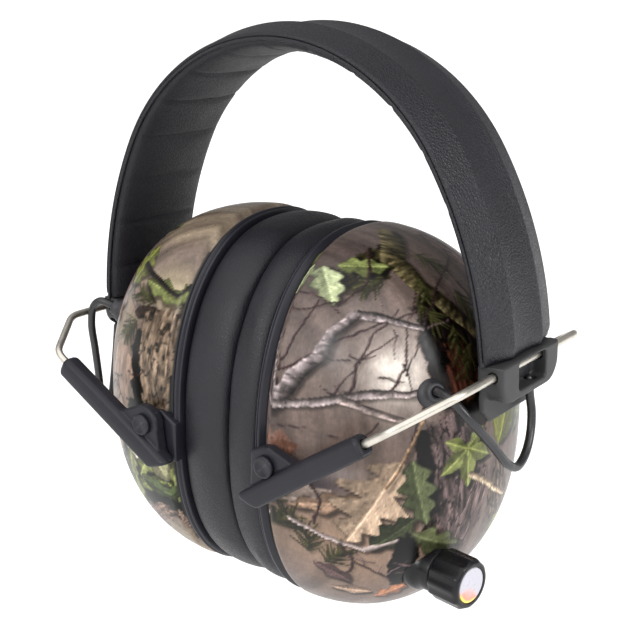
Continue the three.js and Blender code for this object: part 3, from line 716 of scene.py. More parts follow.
def make_end_cap(side):
    """An end cap with its tongue, window, crossbar bore and lead hole, and a dark sheet of painted shade on
    the window's floor.
    """
    place = cap_place(side)
    half, corner, low, top = CAP["half"], CAP["corner"], CAP["bottom"], BAND_END - 0.3
    outline = ([(-half, top), (-half, low + corner)]
               + arc((-half + corner, low + corner), corner, 180, 270, 9)
               + arc((half - corner, low + corner), corner, 270, 360, 9) + [(half, top)])
    body = plate("body", place, outline, CAP["inner"], CAP["outer"], 0, bevel=1.1)
    chamfer = 4
    foot, wide = TONGUE["bottom"], TONGUE["half"]
    tongue = plate("tongue", place, [
        (-wide, low + 3), (-wide, foot + chamfer), (-wide + chamfer, foot), (wide - chamfer, foot),
        (wide, foot + chamfer), (wide, low + 3)], TONGUE["inner"], TONGUE["outer"], 0, bevel=0.3)
    floor = CAP["outer"] - WINDOW["depth"]
    near, far = WINDOW["y"] - WINDOW["half"], WINDOW["y"] + WINDOW["half"]
    window = block("window", place, (floor, near, WINDOW["low"]), (CAP["outer"] + 3, far, WINDOW["high"]),
                   1.2)
    entry = (*LEAD_ENTRY[side], 0)
    hole = turned("hole", [(2.0, low - 3), (2.0, low + 4)], lambda p: place(p + entry), 24)
    crossbar_x, crossbar_z = CROSSBAR
    bore = turned("bore", [(WIRE + 0.35, -20), (WIRE + 0.35, 20)], lambda p: place(
        np.stack([p[..., 0] + crossbar_x, p[..., 2], p[..., 1] + crossbar_z], axis=-1)), 20)
    piece = moulded(f"end_cap_{side}_moulding", [body, tongue], [window, hole, bore], voxel=0.3, smooth=4)
    finish_piece(piece, CAP_PLASTIC, "headband", [f"end_cap_{side}"])
    edge = 0.4  # the sheet of painted shade stays this far inside the window
    # painted shade: a dark sheet on the window's floor stands in for the shadow in the recess
    shade_sheet = block(f"window_shade_sheet_{side}", place, (floor - edge, near + edge, WINDOW["low"] + edge),
                    (floor + 0.3, far - edge, WINDOW["high"] - edge), 0.2)
    finish_piece(shade_sheet, BOOT, "headband")


make_band_cover()
make_band_pad()
for side in SIDES:
    make_end_cap(side)


# ---- yokes and arms ---------------------------------------------------------------------------
def rounded_path(corners, radius, steps=8):
    """A polyline with its corners rounded by quadratic curves."""
    corners = [np.array(c, float) for c in corners]
    points = [corners[0]]
    for before, corner, after in zip(corners, corners[1:], corners[2:]):
        a = corner + (before - corner) / np.linalg.norm(before - corner) * radius
        b = corner + (after - corner) / np.linalg.norm(after - corner) * radius
        for t in np.linspace(0, 1, steps):
            points.append((1 - t) ** 2 * a + 2 * t * (1 - t) * corner + t ** 2 * b)
    return np.array(points + [corners[-1]])


def make_yoke(side):
    corners = [(YOKE["end"], BAR["y"], 0), (YOKE["bend"], BAR["y"], 0), (0, YOKE["corner"], 0),
               (0, -YOKE["corner"], 0), (YOKE["bend"], -BAR["y"], 0), (YOKE["end"], -BAR["y"], 0)]
    line = rounded_path(corners, YOKE["round"])
    piece = tube(f"yoke_wire_{side}", on_yoke(side, line), WIRE, 24)
    finish_piece(piece, NICKEL, f"yoke_{side}", [f"wire_yoke_{side}"])


def reach(side):
    """Distance along the legs from the crossbar to the pivots' foot point."""
    origin, x, _, _ = yoke_axes(side)
    pivot = on_cup(side, np.array([PIVOT_X, 0.0, 0.0]))
    return -float((pivot - origin) @ x)


BAR_SLANT = 5.0  # the bar's foot is cut at an angle, by this much over its height


def make_arm(side, where):
    """One arm: a rounded bar over the wire's leg with a rounded lug for the pivot pin."""
    s = SIDES[side] * (1 if where == "rear" else -1)
    place = lambda p: on_yoke(side, np.stack([p[..., 0], s * p[..., 1], p[..., 2]], axis=-1), -reach(side))
    angle = np.linspace(0, 2 * math.pi, 40, endpoint=False)
    sharpness = 0.36  # exponent of the bar's section, between square at 0 and round at 1
    rings = []
    length = BAR["front"] - BAR["back"]
    for t in np.linspace(0, 1, 49):
        x = BAR["back"] + length * t
        end = min(x - BAR["back"], BAR["front"] - x)
        shrink = 1 - 0.22 * max(0, 1 - end / 1.4) ** 2
        crown = 0.35 * math.sin(math.pi * t)
        y = BAR["y"] + BAR["radius"] * shrink * signed_power(np.cos(angle), sharpness)
        z = BAR["radius"] * shrink * signed_power(np.sin(angle), sharpness)
        z = np.where(z > 0, z + crown, z)
        chamfer = np.clip((z - 1.2) / 2.0, 0, 1)
        y = y - 0.9 * chamfer * np.sign(y - BAR["y"])
        slant = BAR_SLANT * max(0, 1 - t * 2.2) * (BAR["radius"] - z) / (2 * BAR["radius"])
        rings.append(place(np.stack([x + slant, y, z], axis=1)))
    bar = lofted("bar", rings)
    inner = BAR["y"] - 2.8
    outline = [(-11, 0), (11, 0), (3.6, BAR["drop"] + 4.3)] + arc((0, BAR["drop"]), 5.3, 50, 165, 14)
    lug = plate("lug", place, outline, inner, inner + 3.6, 1, bevel=0.7)
    mouth = turned("mouth", [(WIRE + 0.35, BAR["front"] - 2.2), (WIRE + 0.35, BAR["front"] + 2)],
                   lambda p: place(np.stack([p[..., 2], p[..., 0] + BAR["y"], p[..., 1]], axis=-1)), 20)
    piece = moulded(f"arm_{where}_{side}_moulding", [bar, lug], [mouth], voxel=0.24, smooth=3)
    finish_piece(piece, PLASTIC, f"arms_{side}", [f"arm_{where}_{side}"])


def make_pin(side, where):
    """Pivot pin: a stepped head with a shallow dish, and its shank."""
    low, high = node_box(f"pivot_pin_{where}_{side}")
    outer = high[1] if abs(high[1]) > abs(low[1]) else low[1]
    inner = low[1] if outer == high[1] else high[1]
    sign = math.copysign(1, outer)
    centre = (low + high) / 2
    top = abs(outer)
    profile = [(0.02, abs(inner)), (2, abs(inner)), (2, top - 1.2), (3.1, top - 1.2), (3.1, top - 0.45),
               (2.95, top - 0.15), (2.6, top), (2.25, top - 0.02), (2.05, top - 0.2), (0.02, top - 0.28)]
    place = lambda p: np.stack([centre[0] + p[..., 0], sign * p[..., 2], centre[2] + sign * p[..., 1]],
                               axis=-1)
    piece = turned(f"pin_{where}_{side}_head", profile, place, 40)
    finish_piece(piece, PLASTIC, f"cup_{side}", [f"pivot_pin_{where}_{side}"])


for side in SIDES:
    make_yoke(side)
    for where in ("front", "rear"):
        make_arm(side, where)
        make_pin(side, where)


# ---- woodland print -------------------------------------------------------------------------
class Print:
    """A generic woodland print painted on points of a cup's unrolled surface: u to the rear, v up."""

    def __init__(self, u, v, seed):
        self.u, self.v, self.seed = u, v, seed
        self.colour = np.zeros((len(u), 3))

    def noise(self, u, v, seed, octaves=3):
        """Value noise between 0 and 1, one lattice cell per unit."""
        total, weight = np.zeros(len(u)), 0.0
        for octave in range(octaves):
            lattice = np.random.default_rng(self.seed * 97 + seed * 11 + octave).random((64, 64))
            x, y = u * 2.0 ** octave + 31.7 * octave, v * 2.0 ** octave + 17.3 * octave
            i, j = np.floor(x).astype(int), np.floor(y).astype(int)
            fx, fy = x - i, y - j
            fx, fy = fx * fx * (3 - 2 * fx), fy * fy * (3 - 2 * fy)
            corner = lambda a, b: lattice[(i + a) % 64, (j + b) % 64]
            low = corner(0, 0) * (1 - fx) + corner(1, 0) * fx
            high = corner(0, 1) * (1 - fx) + corner(1, 1) * fx
            total += (low * (1 - fy) + high * fy) * 0.55 ** octave
            weight += 0.55 ** octave
        return np.clip((total / weight - 0.5) * 1.5 + 0.5, 0, 1)

    def near(self, points, margin):
        """Indices of the painted points within a margin of some points."""
        p = np.asarray(points, float)
        low, high = p.min(0) - margin, p.max(0) + margin
        inside = (self.u > low[0]) & (self.u < high[0]) & (self.v > low[1]) & (self.v < high[1])
        return np.flatnonzero(inside)

    def lay(self, where, colour, share):
        """Covers the chosen points with a colour by a share from 0 to 1."""
        self.colour[where] += (np.clip(colour, 0, 1) - self.colour[where]) * np.clip(share, 0, 1)[:, None]

    def background(self, tones, streak=0.42):
        """Out-of-focus wood: two or three tones in soft upright streaks."""
        u, v = self.u, self.v
        tones = np.array(tones)
        place = self.noise(u / 26 + 3, v / 40, 1, 3)[:, None] * (len(tones) - 1)
        step = np.clip(place.astype(int), 0, len(tones) - 2)[:, 0]
        self.colour = tones[step] + (tones[step + 1] - tones[step]) * (place - step[:, None])
        lean = u + 0.06 * v
        self.colour *= 1 + streak * (self.noise(lean / 4.5, v / 60, 2, 3) - 0.5)[:, None]
        self.colour *= 1 + 0.10 * (self.noise(u / 1.2, v / 1.2, 3, 2) - 0.5)[:, None]

    def glow(self, centre, size, colour, share=0.8):
        """A soft light patch."""
        where = self.near([centre], max(size) * 2.2)
        du = (self.u[where] - centre[0]) / size[0]
        dv = (self.v[where] - centre[1]) / size[1]
        spread = np.exp(-(du ** 2 + dv ** 2) * 1.2) * (0.8 + 0.4 * self.noise(du * 3, dv * 3, 4))
        self.lay(where, colour, spread * share)

    def patch(self, centre, size, angle, colour, seed, grain=0.5, rough=0.45, streak=(0.9, 5.0)):
        """An irregular area of bark or litter, streaked along its own long axis."""
        where = self.near([centre], max(size) * 1.5)
        a = math.radians(angle)
        du, dv = self.u[where] - centre[0], self.v[where] - centre[1]
        x, y = du * math.cos(a) + dv * math.sin(a), -du * math.sin(a) + dv * math.cos(a)
        edge = np.hypot(x / size[0], y / size[1])
        edge += rough * (self.noise(x / 3.4, y / 3.4, seed, 4) - 0.5)
        streaks = self.noise(y / streak[0] + 7, x / streak[1], seed + 1, 4)
        cracks = np.abs(self.noise(y / 2.2 + 3, x / 6.5, seed + 2, 3) - 0.5) * 2
        tone = 1 + grain * (streaks - 0.5) * 2
        tone *= 0.35 + 0.65 * np.clip(cracks * 5, 0, 1) if grain > 0.4 else 1
        self.lay(where, np.array(colour) * tone[:, None], (1 - edge) / 0.08)

    def stroke(self, points, widths, colour, seed=5, relief=0.5, bark=0.3, shade=0.35, rough=0.3):
        """A branch or twig along a line of points, lit from the upper left, over its own soft shadow."""
        points = np.asarray(points, float)
        widths = np.broadcast_to(np.asarray(widths, float), len(points)) / 2
        where = self.near(points, widths.max() * 1.5 + 2.5)
        u, v = self.u[where], self.v[where]
        u = u + rough * 1.6 * (self.noise(u / 4, v / 4, seed, 2) - 0.5)
        v = v + rough * 1.6 * (self.noise(u / 4 + 9, v / 4, seed + 1, 2) - 0.5)
        best, side, along = (np.full(len(u), value) for value in (1e9, 0.0, 0.0))
        shadow = np.full(len(u), 1e9)
        run = 0.0
        for a, b, wa, wb in zip(points, points[1:], widths, widths[1:]):
            step = b - a
            length = float(np.hypot(*step))
            for offset, is_shadow in (((0.0, 0.0), False), ((0.9, -0.9), True)):
                du, dv = u - a[0] - offset[0], v - a[1] - offset[1]
                t = np.clip((du * step[0] + dv * step[1]) / length ** 2, 0, 1)
                distance = np.hypot(du - t * step[0], dv - t * step[1])
                width = wa + (wb - wa) * t
                if is_shadow:
                    shadow = np.minimum(shadow, distance - width)
                    continue
                closer = distance - width < best
                turned = (du * step[1] - dv * step[0]) / length
                light = -1.0 if step[1] - step[0] * 0.4 > 0 else 1.0
                best = np.where(closer, distance - width, best)
                side = np.where(closer, turned * light / np.maximum(width, 0.1), side)
                along = np.where(closer, run + t * length, along)
            run += length
        self.lay(where, np.array([0.10, 0.085, 0.08]), np.clip(0.5 - shadow / 1.2, 0, 1) * shade)
        texture = self.noise(along / 0.9, side * 1.2 + 5, seed + 2, 3)
        tone = (1 + relief * np.clip(side, -1, 1) * 0.8) * (1 + bark * (texture - 0.5) * 2)
        self.lay(where, np.array(colour) * tone[:, None], 0.5 - best / 0.35)

    def leaf(self, centre, angle, length, width, colour, lobes=4, depth=0.35, seed=7, vein=1.25, shade=0.5):
        """A lobed leaf with a midrib and side veins; angle is the way its tip points."""
        where = self.near([centre], length * 0.75 + 2)
        a = math.radians(angle)
        for lift, is_leaf in ((1.1, False), (0.0, True)):
            du = self.u[where] - centre[0] - lift
            dv = self.v[where] - centre[1] + lift
            x = (du * math.cos(a) + dv * math.sin(a)) / length + 0.5
            y = -du * math.sin(a) + dv * math.cos(a)
            bend = 0.12 * length * (x - 0.5) ** 2
            y = y - bend
            inside = np.clip(x, 0.001, 0.999)
            phase = lobes * (inside - 0.25 * np.abs(y) / length) + 0.25 * np.sign(y)
            wave = 0.5 + 0.5 * np.cos(2 * math.pi * phase)
            half = width / 2 * np.sin(math.pi * inside ** 0.85) ** 0.75
            half = half * (1 - depth + depth * wave ** 0.8 * 1.35)
            half += 0.35 * (self.noise(x * 14, y * 0.9, seed, 2) - 0.5)
            edge = np.where((x > 0) & (x < 1), np.abs(y) - half, 9.0)
            if not is_leaf:
                self.lay(where, np.array([0.07, 0.06, 0.05]), np.clip(0.6 - edge / 1.4, 0, 1) * shade)
                continue
            half_tone = 1 + 0.14 * np.sign(y) + 0.30 * (self.noise(x * 5, y * 0.5, seed + 1, 3) - 0.5)
            spots = self.noise(x * 22, y * 1.4, seed + 2, 3)
            half_tone *= 1 - 0.16 * np.clip((spots - 0.62) * 5, 0, 1)
            ribs = np.abs(((x * length - np.abs(y) * 1.1) / (length / (lobes * 2)) + 0.5) % 1 - 0.5)
            ribs = np.maximum(np.clip(1 - ribs * 9, 0, 1) * 0.55, np.clip(1.25 - np.abs(y) / 0.5, 0, 1))
            tone = half_tone * (1 + (vein - 1) * ribs) * (1 - 0.35 * np.clip(1 + edge / 0.8, 0, 1))
            self.lay(where, np.array(colour) * tone[:, None], 0.5 - edge / 0.35)

    def star(self, centre, angle, radius, colour, points=5, seed=9):
        """A leaf of several pointed lobes that meet at its stalk."""
        where = self.near([centre], radius * 1.4)
        for lift, is_leaf in ((1.2, False), (0.0, True)):
            du, dv = self.u[where] - centre[0] - lift, self.v[where] - centre[1] + lift
            r = np.hypot(du, dv)
            turn = (np.degrees(np.arctan2(dv, du)) - angle + 540) % 360 - 180
            sector = 300 / points
            middle = np.clip(np.round(turn / sector), -(points // 2), points // 2) * sector
            off = np.abs(turn - middle) / (sector / 2)
            lobe = np.clip(np.round(middle / sector).astype(int) + 2, 0, 4)
            reach = np.array([0.72, 0.9, 1.0, 0.88, 0.68])[lobe]
            teeth = 0.05 * np.abs((r / radius * 4.5) % 1 - 0.5)
            limit = radius * reach * (1 - 0.50 * np.clip(off, 0, 1) ** 0.75 + teeth)
            limit *= np.where(np.abs(turn) > 150, 0.35, 1)
            edge = r - limit
            if not is_leaf:
                self.lay(where, np.array([0.05, 0.05, 0.04]), np.clip(0.6 - edge / 1.4, 0, 1) * 0.6)
                continue
            veins = np.clip(1.2 - np.abs(np.radians(turn - middle)) * r / 0.45, 0, 1)
            mottle = self.noise(du * 0.5, dv * 0.5, seed, 3)
            tone = (1 + 0.12 * np.sign(turn - middle)) * (1 + 0.4 * (mottle - 0.5)) * (1 + 0.3 * veins)
            self.lay(where, np.array(colour) * tone[:, None], 0.5 - edge / 0.35)

    def needles(self, foot, angle, length, colour, count=14, fan=55, along=8.0, seed=3):
        """A pine sprig: fine needles either side of a short stem."""
        rng = np.random.default_rng(self.seed * 31 + seed)
        a = math.radians(angle)
        for i in range(count):
            t = i / max(count - 1, 1)
            start = np.array(foot) + np.array([math.cos(a), math.sin(a)]) * along * t
            side = 1 if i % 2 else -1
            way = a + side * math.radians(fan * (0.5 + 0.5 * rng.random()) * (1 - 0.4 * t))
            size = length * (0.65 + 0.5 * rng.random())
            tip = start + np.array([math.cos(way), math.sin(way)]) * size
            tone = np.array(colour) * (0.65 + 0.7 * rng.random())
            self.stroke([start, (start + tip) / 2 + rng.normal(0, 0.25, 2), tip], [0.7, 0.6, 0.35], tone,
                        seed=11, relief=0.2, bark=0.1, shade=0.18, rough=0.0)

    def tangle(self, centre, spread, count, colour, seed, width=0.6):
        """Crossing dark twigs."""
        rng = np.random.default_rng(self.seed * 53 + seed)
        for _ in range(count):
            start = np.array(centre) + rng.normal(0, 0.55, 2) * spread
            turn = rng.uniform(0, 2 * math.pi)
            line = [start]
            for _ in range(3):
                turn += rng.normal(0, 0.5)
                line.append(line[-1] + np.array([math.cos(turn), math.sin(turn)]) * spread * 0.35)
            self.stroke(line, [width, width * 0.8, width * 0.6, width * 0.3],
                        np.array(colour) * rng.uniform(0.7, 1.3),
                        seed=13, relief=0.3, bark=0.15, shade=0.15)

    def linear(self):
        """The painted colours as linear light."""
        grey = self.colour.mean(axis=1, keepdims=True)
        saturation, contrast = 0.84, 1.25
        muted = grey + (self.colour - grey) * saturation
        c = np.clip(0.40 + (muted - 0.42) * contrast, 0, 1)
        return np.where(c < 0.04045, c / 12.92, ((c + 0.055) / 1.055) ** 2.4)


TAUPE, WARM, DUSK = (0.44, 0.385, 0.36), (0.56, 0.47, 0.40), (0.37, 0.325, 0.31)
LILAC, PALE_PRINT_AND_HIGHLIGHT, BARK = (0.42, 0.385, 0.38), (0.86, 0.82, 0.77), (0.42, 0.33, 0.31)
CREAM, TAN = (0.74, 0.68, 0.55), (0.60, 0.49, 0.37)
MOSS, LIME, FERN = (0.27, 0.27, 0.17), (0.46, 0.48, 0.24), (0.33, 0.36, 0.24)


def scattered(art, seed, left, right, low, high, count):
    """Leaves, sprigs and branches at seeded places, for the cups' far sides."""
    rng = np.random.default_rng(seed)
    for i in range(count):
        centre = (rng.uniform(left, right), rng.uniform(low, high))
        turn = rng.uniform(0, 360)
        kind = i % 6
        if kind in (0, 3):
            art.leaf(centre, turn, rng.uniform(16, 25), rng.uniform(9, 14), [TAN, FERN, LIME, WARM][i % 4],
                     seed=20 + i)
        elif kind == 1:
            art.needles(centre, turn, 8, MOSS, 16, seed=i)
        elif kind == 2:
            art.patch(centre, (rng.uniform(12, 20), rng.uniform(5, 9)), rng.uniform(60, 110), BARK, 30 + i)
        elif kind == 4:
            art.star(centre, turn, rng.uniform(8, 11), FERN, seed=40 + i)
        else:
            way = np.array([math.cos(math.radians(turn)), math.sin(math.radians(turn))])
            line = [np.array(centre) + way * s + rng.normal(0, 2.0, 2) for s in (-18, -8, 2, 12, 20)]
            art.stroke(line, [3.2, 3.0, 2.4, 1.8, 0.8], LILAC, seed=50 + i)


def paint_right(u, v):
    """Grey branches before a pale wood, a bark trunk, and oak and maple-like leaves. One pale patch is also a
    painted highlight of the lamp.
    """
    art = Print(u, v, 4)
    art.background([DUSK, TAUPE, (0.44, 0.38, 0.35), TAUPE])
    art.glow((-46, -28), (28, 26), (0.60, 0.50, 0.42), 0.9)
    art.glow((-58, 48), (12, 22), (0.50, 0.45, 0.42), 0.5)
    # a pale patch of the print that also stands in for the lamp's reflection on the cup: part print, part
    # painted highlight
    art.glow((-33, 31), (11, 13), PALE_PRINT_AND_HIGHLIGHT, 1.0)
    art.glow((-36, 52), (8, 12), (0.57, 0.51, 0.48), 0.5)
    scattered(art, 5, 12, 66, -62, 62, 34)
    # trunk of dark bark behind the leaves
    art.patch((-14, 30), (22, 11), 100, (0.15, 0.125, 0.115), 21, 0.5, 0.3)
    art.patch((-13, 27), (10, 6), 95, (0.33, 0.21, 0.17), 22, 0.55, 0.5)
    art.patch((-17, -6), (25, 12.5), 98, (0.37, 0.315, 0.305), 23, 0.6, 0.25)
    art.patch((-27, -2), (17, 2.6), 97, (0.12, 0.09, 0.10), 24, 0.3, 0.6)
    art.patch((-9, -16), (12, 5), 80, (0.46, 0.39, 0.375), 25, 0.5, 0.4)
    art.patch((4, -14), (13, 6), 110, (0.42, 0.36, 0.32), 26, 0.5, 0.5)
    art.patch((3, 30), (16, 9), 80, (0.30, 0.27, 0.20), 27, 0.5, 0.5)
    # mossy limb and the top leaves
    art.patch((-26, 67), (14, 6), 20, (0.24, 0.22, 0.15), 28, 0.5, 0.6)
    art.stroke([(-4, 78), (-17, 67), (-16, 55), (-10, 44), (-4, 36)], [8, 8, 6, 5, 4], (0.34, 0.31, 0.22),
               bark=0.5)
    for i, (u0, v0, turn) in enumerate(((-25, 62, 200), (-14, 58, 250), (-7, 66, 300), (-12, 40, 260),
                                        (-4, 50, 280),
                                        (-20, 50, 290), (-8, 33, 240))):
        art.needles((u0, v0), turn, 6, MOSS, 16, seed=60 + i)
    art.leaf((-40, 66), 250, 18, 9, (0.60, 0.63, 0.48), 3, 0.3, seed=70)
    art.leaf((-27, 68), 330, 15, 9, (0.47, 0.50, 0.30), 3, 0.35, seed=71)
    # twigs behind the branches
    for i, (line, width) in enumerate((
        ([(-64, 28), (-61, 40), (-54, 51), (-45, 61)], 0.9),
        ([(8, 62), (-8, 54), (-19, 46), (-27, 36), (-31, 30)], 0.9),
        ([(-70, 34), (-58, 39), (-48, 44), (-34, 47), (-22, 47)], 1.1),
        ([(-46, 27), (-43, 36), (-36, 44), (-27, 50)], 0.8),
        ([(-52, 24), (-47, 31), (-40, 38), (-30, 42)], 0.7),
        ([(-36, 26), (-30, 33), (-27, 44), (-18, 54)], 0.8),
        ([(-50, 70), (-44, 62), (-42, 54)], 0.8), ([(-68, 14), (-58, 15), (-50, 12)], 0.6),
        ([(-40, 17), (-44, 12), (-49, 4)], 0.6), ([(-28, 20), (-31, 12), (-34, 2)], 0.8),
    )):
        art.stroke(line, np.linspace(width, width * 0.5, len(line)), (0.26, 0.20, 0.20), seed=80 + i,
                   relief=0.4,
                   shade=0.1, rough=0.6)
    art.tangle((-45, 30), 7, 5, (0.22, 0.17, 0.17), 1)
    art.tangle((-30, 40), 9, 4, (0.34, 0.29, 0.29), 2)
    # the two large branches
    art.stroke([(-76, 14), (-67, 21), (-58, 35), (-51, 41), (-46, 48), (-38, 52), (-31, 48), (-22, 42)],
               [5.2, 4.9, 4.5, 4.1, 3.4, 3.0, 2.4, 1.5], LILAC, seed=90, relief=0.8, bark=0.40, shade=0.5,
               rough=0.5)
    art.stroke([(-76, 22), (-60, 24), (-51, 25), (-41, 26), (-31, 24), (-22, 24)],
               [3.4, 3.2, 3.0, 2.6, 2.0, 1.0], (0.48, 0.44, 0.43), seed=91, relief=0.75, bark=0.30,
               shade=0.45, rough=0.5)
    art.stroke([(-48, 25), (-42, 21), (-34, 17)], [2.4, 2.0, 1.6], (0.50, 0.45, 0.43), seed=92, relief=0.7,
               shade=0.5)
    # forest floor: shadows, the tan leaf and the green ones
    art.glow((-56, -4), (9, 7), (0.26, 0.23, 0.26), 0.8)
    art.glow((-50, 0), (7, 4), (0.60, 0.55, 0.53), 0.7)
    art.patch((-60, -12), (10, 4), 30, (0.62, 0.55, 0.50), 31, 0.25, 0.6)
    art.leaf((-52, -12), 205, 22, 8, (0.55, 0.45, 0.37), 3, 0.4, seed=72)
    art.leaf((-41, -10), 248, 32, 20, (0.65, 0.56, 0.47), 4, 0.62, seed=73, vein=1.3)
    art.stroke([(-28, 16), (-33, 6), (-38, -4)], [0.9, 0.9, 0.8], (0.52, 0.42, 0.32), seed=93, shade=0.4)
    art.leaf((-29, -6), 285, 22, 10, (0.34, 0.365, 0.255), 4, 0.4, seed=74)
    art.leaf((-35, -20), 230, 17, 9, (0.25, 0.27, 0.19), 3, 0.4, seed=75)
    art.leaf((-21, -23), 340, 20, 9, (0.36, 0.375, 0.27), 3, 0.45, seed=76)
    art.star((-14, 5), 275, 12, (0.44, 0.46, 0.27), seed=77)
    art.leaf((5, 12), 70, 22, 15, (0.45, 0.46, 0.17), 2, 0.1, seed=78)
    art.stroke([(-12, -3), (-5, -7), (3, -13), (10, -17)], [1.8, 1.8, 1.6, 1.2], (0.66, 0.58, 0.48),
               seed=94, relief=0.6)
    # the foot of the picture
    art.patch((-29, -31), (13, 4.5), 97, (0.08, 0.07, 0.07), 33, 0.3, 0.35)
    art.tangle((-31, -34), 8, 7, (0.42, 0.34, 0.34), 3)
    for i, (u0, v0, turn) in enumerate(((-54, -36, 100), (-56, -28, 140), (-66, -20, 80), (-64, -30, 60),
                                        (-49, -38, 70),
                                        (-68, -8, 90))):
        art.needles((u0, v0), turn, 6.5, (0.24, 0.235, 0.13), 18, seed=66 + i)
    art.stroke([(-60, -24), (-54, -25), (-47, -27), (-41, -27), (-33, -22)], [1.8, 1.7, 1.6, 1.4, 1.0],
               (0.62, 0.56, 0.54), seed=95, relief=0.5, bark=0.1, shade=0.5, rough=0.8)
    for i, line in enumerate((
        [(-47, -27), (-43, -33), (-42, -39), (-45, -44)], [(-43, -33), (-37, -35), (-30, -40)],
        [(-58, -2), (-54, -12), (-55, -22)], [(-45, -44), (-39, -46)], [(-64, 4), (-60, -6)],
        [(-20, 74), (-30, 62), (-40, 58), (-52, 60)], [(-2, 20), (-8, 34), (-6, 48)],
        [(10, 30), (2, 44), (-2, 60)],
    )):
        art.stroke(line, np.linspace(1.0, 0.6, len(line)), (0.24, 0.18, 0.17), seed=110 + i, relief=0.4,
                   shade=0.2,
                   rough=0.7)
    art.leaf((-46, -42), 160, 12, 7, (0.36, 0.28, 0.27), 2, 0.3, seed=79)
    art.leaf((-26, -46), 60, 14, 7, (0.62, 0.42, 0.30), 3, 0.4, seed=81)
    art.leaf((-38, -50), 200, 12, 6, (0.60, 0.50, 0.42), 2, 0.3, seed=82)
    for i in range(5):
        art.patch((-66 + i, 6 + (i % 3) * 2), (2.4, 1.8), 40 * i, (0.52, 0.38, 0.32), 100 + i, 0.3, 0.9)
    return art.linear()


def paint_left(u, v):
    """The other cup's own view of the same wood: a pale trunk, moss and ground leaves."""
    art = Print(u, v, 8)
    art.background([DUSK, (0.46, 0.40, 0.36), (0.58, 0.52, 0.44), TAUPE])
    scattered(art, 9, -64, 34, -62, 62, 44)
    art.glow((55, 55), (14, 14), CREAM, 0.9)
    art.patch((57, 42), (11, 4), 30, (0.22, 0.17, 0.14), 41, 0.5, 0.5)
    art.patch((62, 22), (28, 9), 100, (0.50, 0.43, 0.36), 42, 0.45, 0.25)
    art.patch((56, 14), (18, 2.5), 100, (0.11, 0.10, 0.09), 43, 0.3, 0.9)
    art.patch((68, 8), (16, 2.0), 96, (0.13, 0.11, 0.10), 44, 0.3, 0.9)
    art.needles((50, 34), 250, 8, MOSS, 22, seed=1)
    art.needles((52, 46), 200, 7, MOSS, 16, seed=2)
    art.leaf((50, 52), 200, 17, 9, (0.45, 0.47, 0.29), 3, 0.3, seed=83)
    art.stroke([(34, 50), (46, 53), (58, 55), (72, 52)], [2.4, 2.2, 2.0, 1.6], (0.16, 0.13, 0.12), seed=96)
    art.patch((48, 10), (13, 7), 90, (0.62, 0.52, 0.45), 45, 0.2, 0.5)
    art.tangle((47, 6), 9, 6, (0.20, 0.15, 0.13), 4, 0.8)
    art.patch((53, -14), (16, 8), 70, (0.10, 0.13, 0.10), 46, 0.35, 0.7)
    art.patch((50, -34), (20, 11), 150, (0.10, 0.14, 0.11), 47, 0.35, 0.6)
    for i, (u0, v0, turn, tone) in enumerate((
        (52, -17, 290, (0.78, 0.75, 0.64)), (60, -14, 260, (0.50, 0.40, 0.30)),
        (57, -24, 230, (0.50, 0.52, 0.32)),
        (48, -27, 250, (0.46, 0.47, 0.34)), (63, -24, 280, (0.52, 0.51, 0.39)),
        (55, -33, 200, (0.42, 0.45, 0.26)),
        (44, -38, 240, (0.46, 0.48, 0.30)), (60, -36, 320, (0.30, 0.34, 0.22)),
    )):
        art.leaf((u0, v0), turn, 17, 8, tone, 2 + i % 2, 0.28, seed=84 + i)
    art.patch((46, -50), (15, 5), 20, (0.50, 0.42, 0.37), 48, 0.5, 0.5)
    art.patch((34, -56), (12, 4), 0, (0.30, 0.26, 0.22), 49, 0.5, 0.5)
    return art.linear()


# ---- cups -------------------------------------------------------------------------------------
def dome_x(y, z, shrink=0.0):
    """Outward place of the cup's surface over (y, z)."""
    k = np.abs(y / (HALF_Y - shrink)) ** CUP_POWER + np.abs(z / (HALF_Z - shrink)) ** CUP_POWER
    return RIM_X + (DEPTH - shrink) * np.clip(1 - k, 0, 1) ** (1 / CUP_POWER)


def dome_rings(rises, around, shrink=0.0, lip=1.5):
    """Rings of the cup's surface from the rim to the pole. Beside the rim it turns in by lip."""
    rings = []
    for rise in rises:
        out = (DEPTH - shrink) * math.sin(rise) ** (2 / CUP_POWER)
        k = math.cos(rise) ** (2 / CUP_POWER)
        turn_in = lip * math.exp(-((out / 1.5) ** 2))
        y, z = oval(1, 1, around).T
        ring = np.stack([np.full(around, RIM_X + out), y * k * (HALF_Y - shrink - turn_in),
                         z * k * (HALF_Z - shrink - turn_in)], axis=1)
        ring[:, 2] = np.maximum(ring[:, 2], STAND_Z + shrink)
        rings.append(ring)
    return rings


SHELL_AROUND, SHELL_RISE = 600, 156  # points round the shell, and rings from pole to rim


def shell_points():
    """Outer surface from pole to rim, over the rim and back along the inner surface to the inner pole."""
    rises = np.linspace(0, 1, SHELL_RISE) ** 1.15 * (math.pi / 2 - 0.004)
    outer = dome_rings(rises, SHELL_AROUND)
    inner = dome_rings(np.linspace(0, 1, 9) * (math.pi / 2 - 0.02), SHELL_AROUND, WALL, lip=0.8)
    return np.array(outer[::-1] + inner)


def door_region(grow):
    """Low and high (y, z) of the battery door's outline, grown by a margin."""
    return (-DOOR["y"] - grow, DOOR["low"] - grow), (DOOR["y"] + grow, DOOR["high"] + grow)


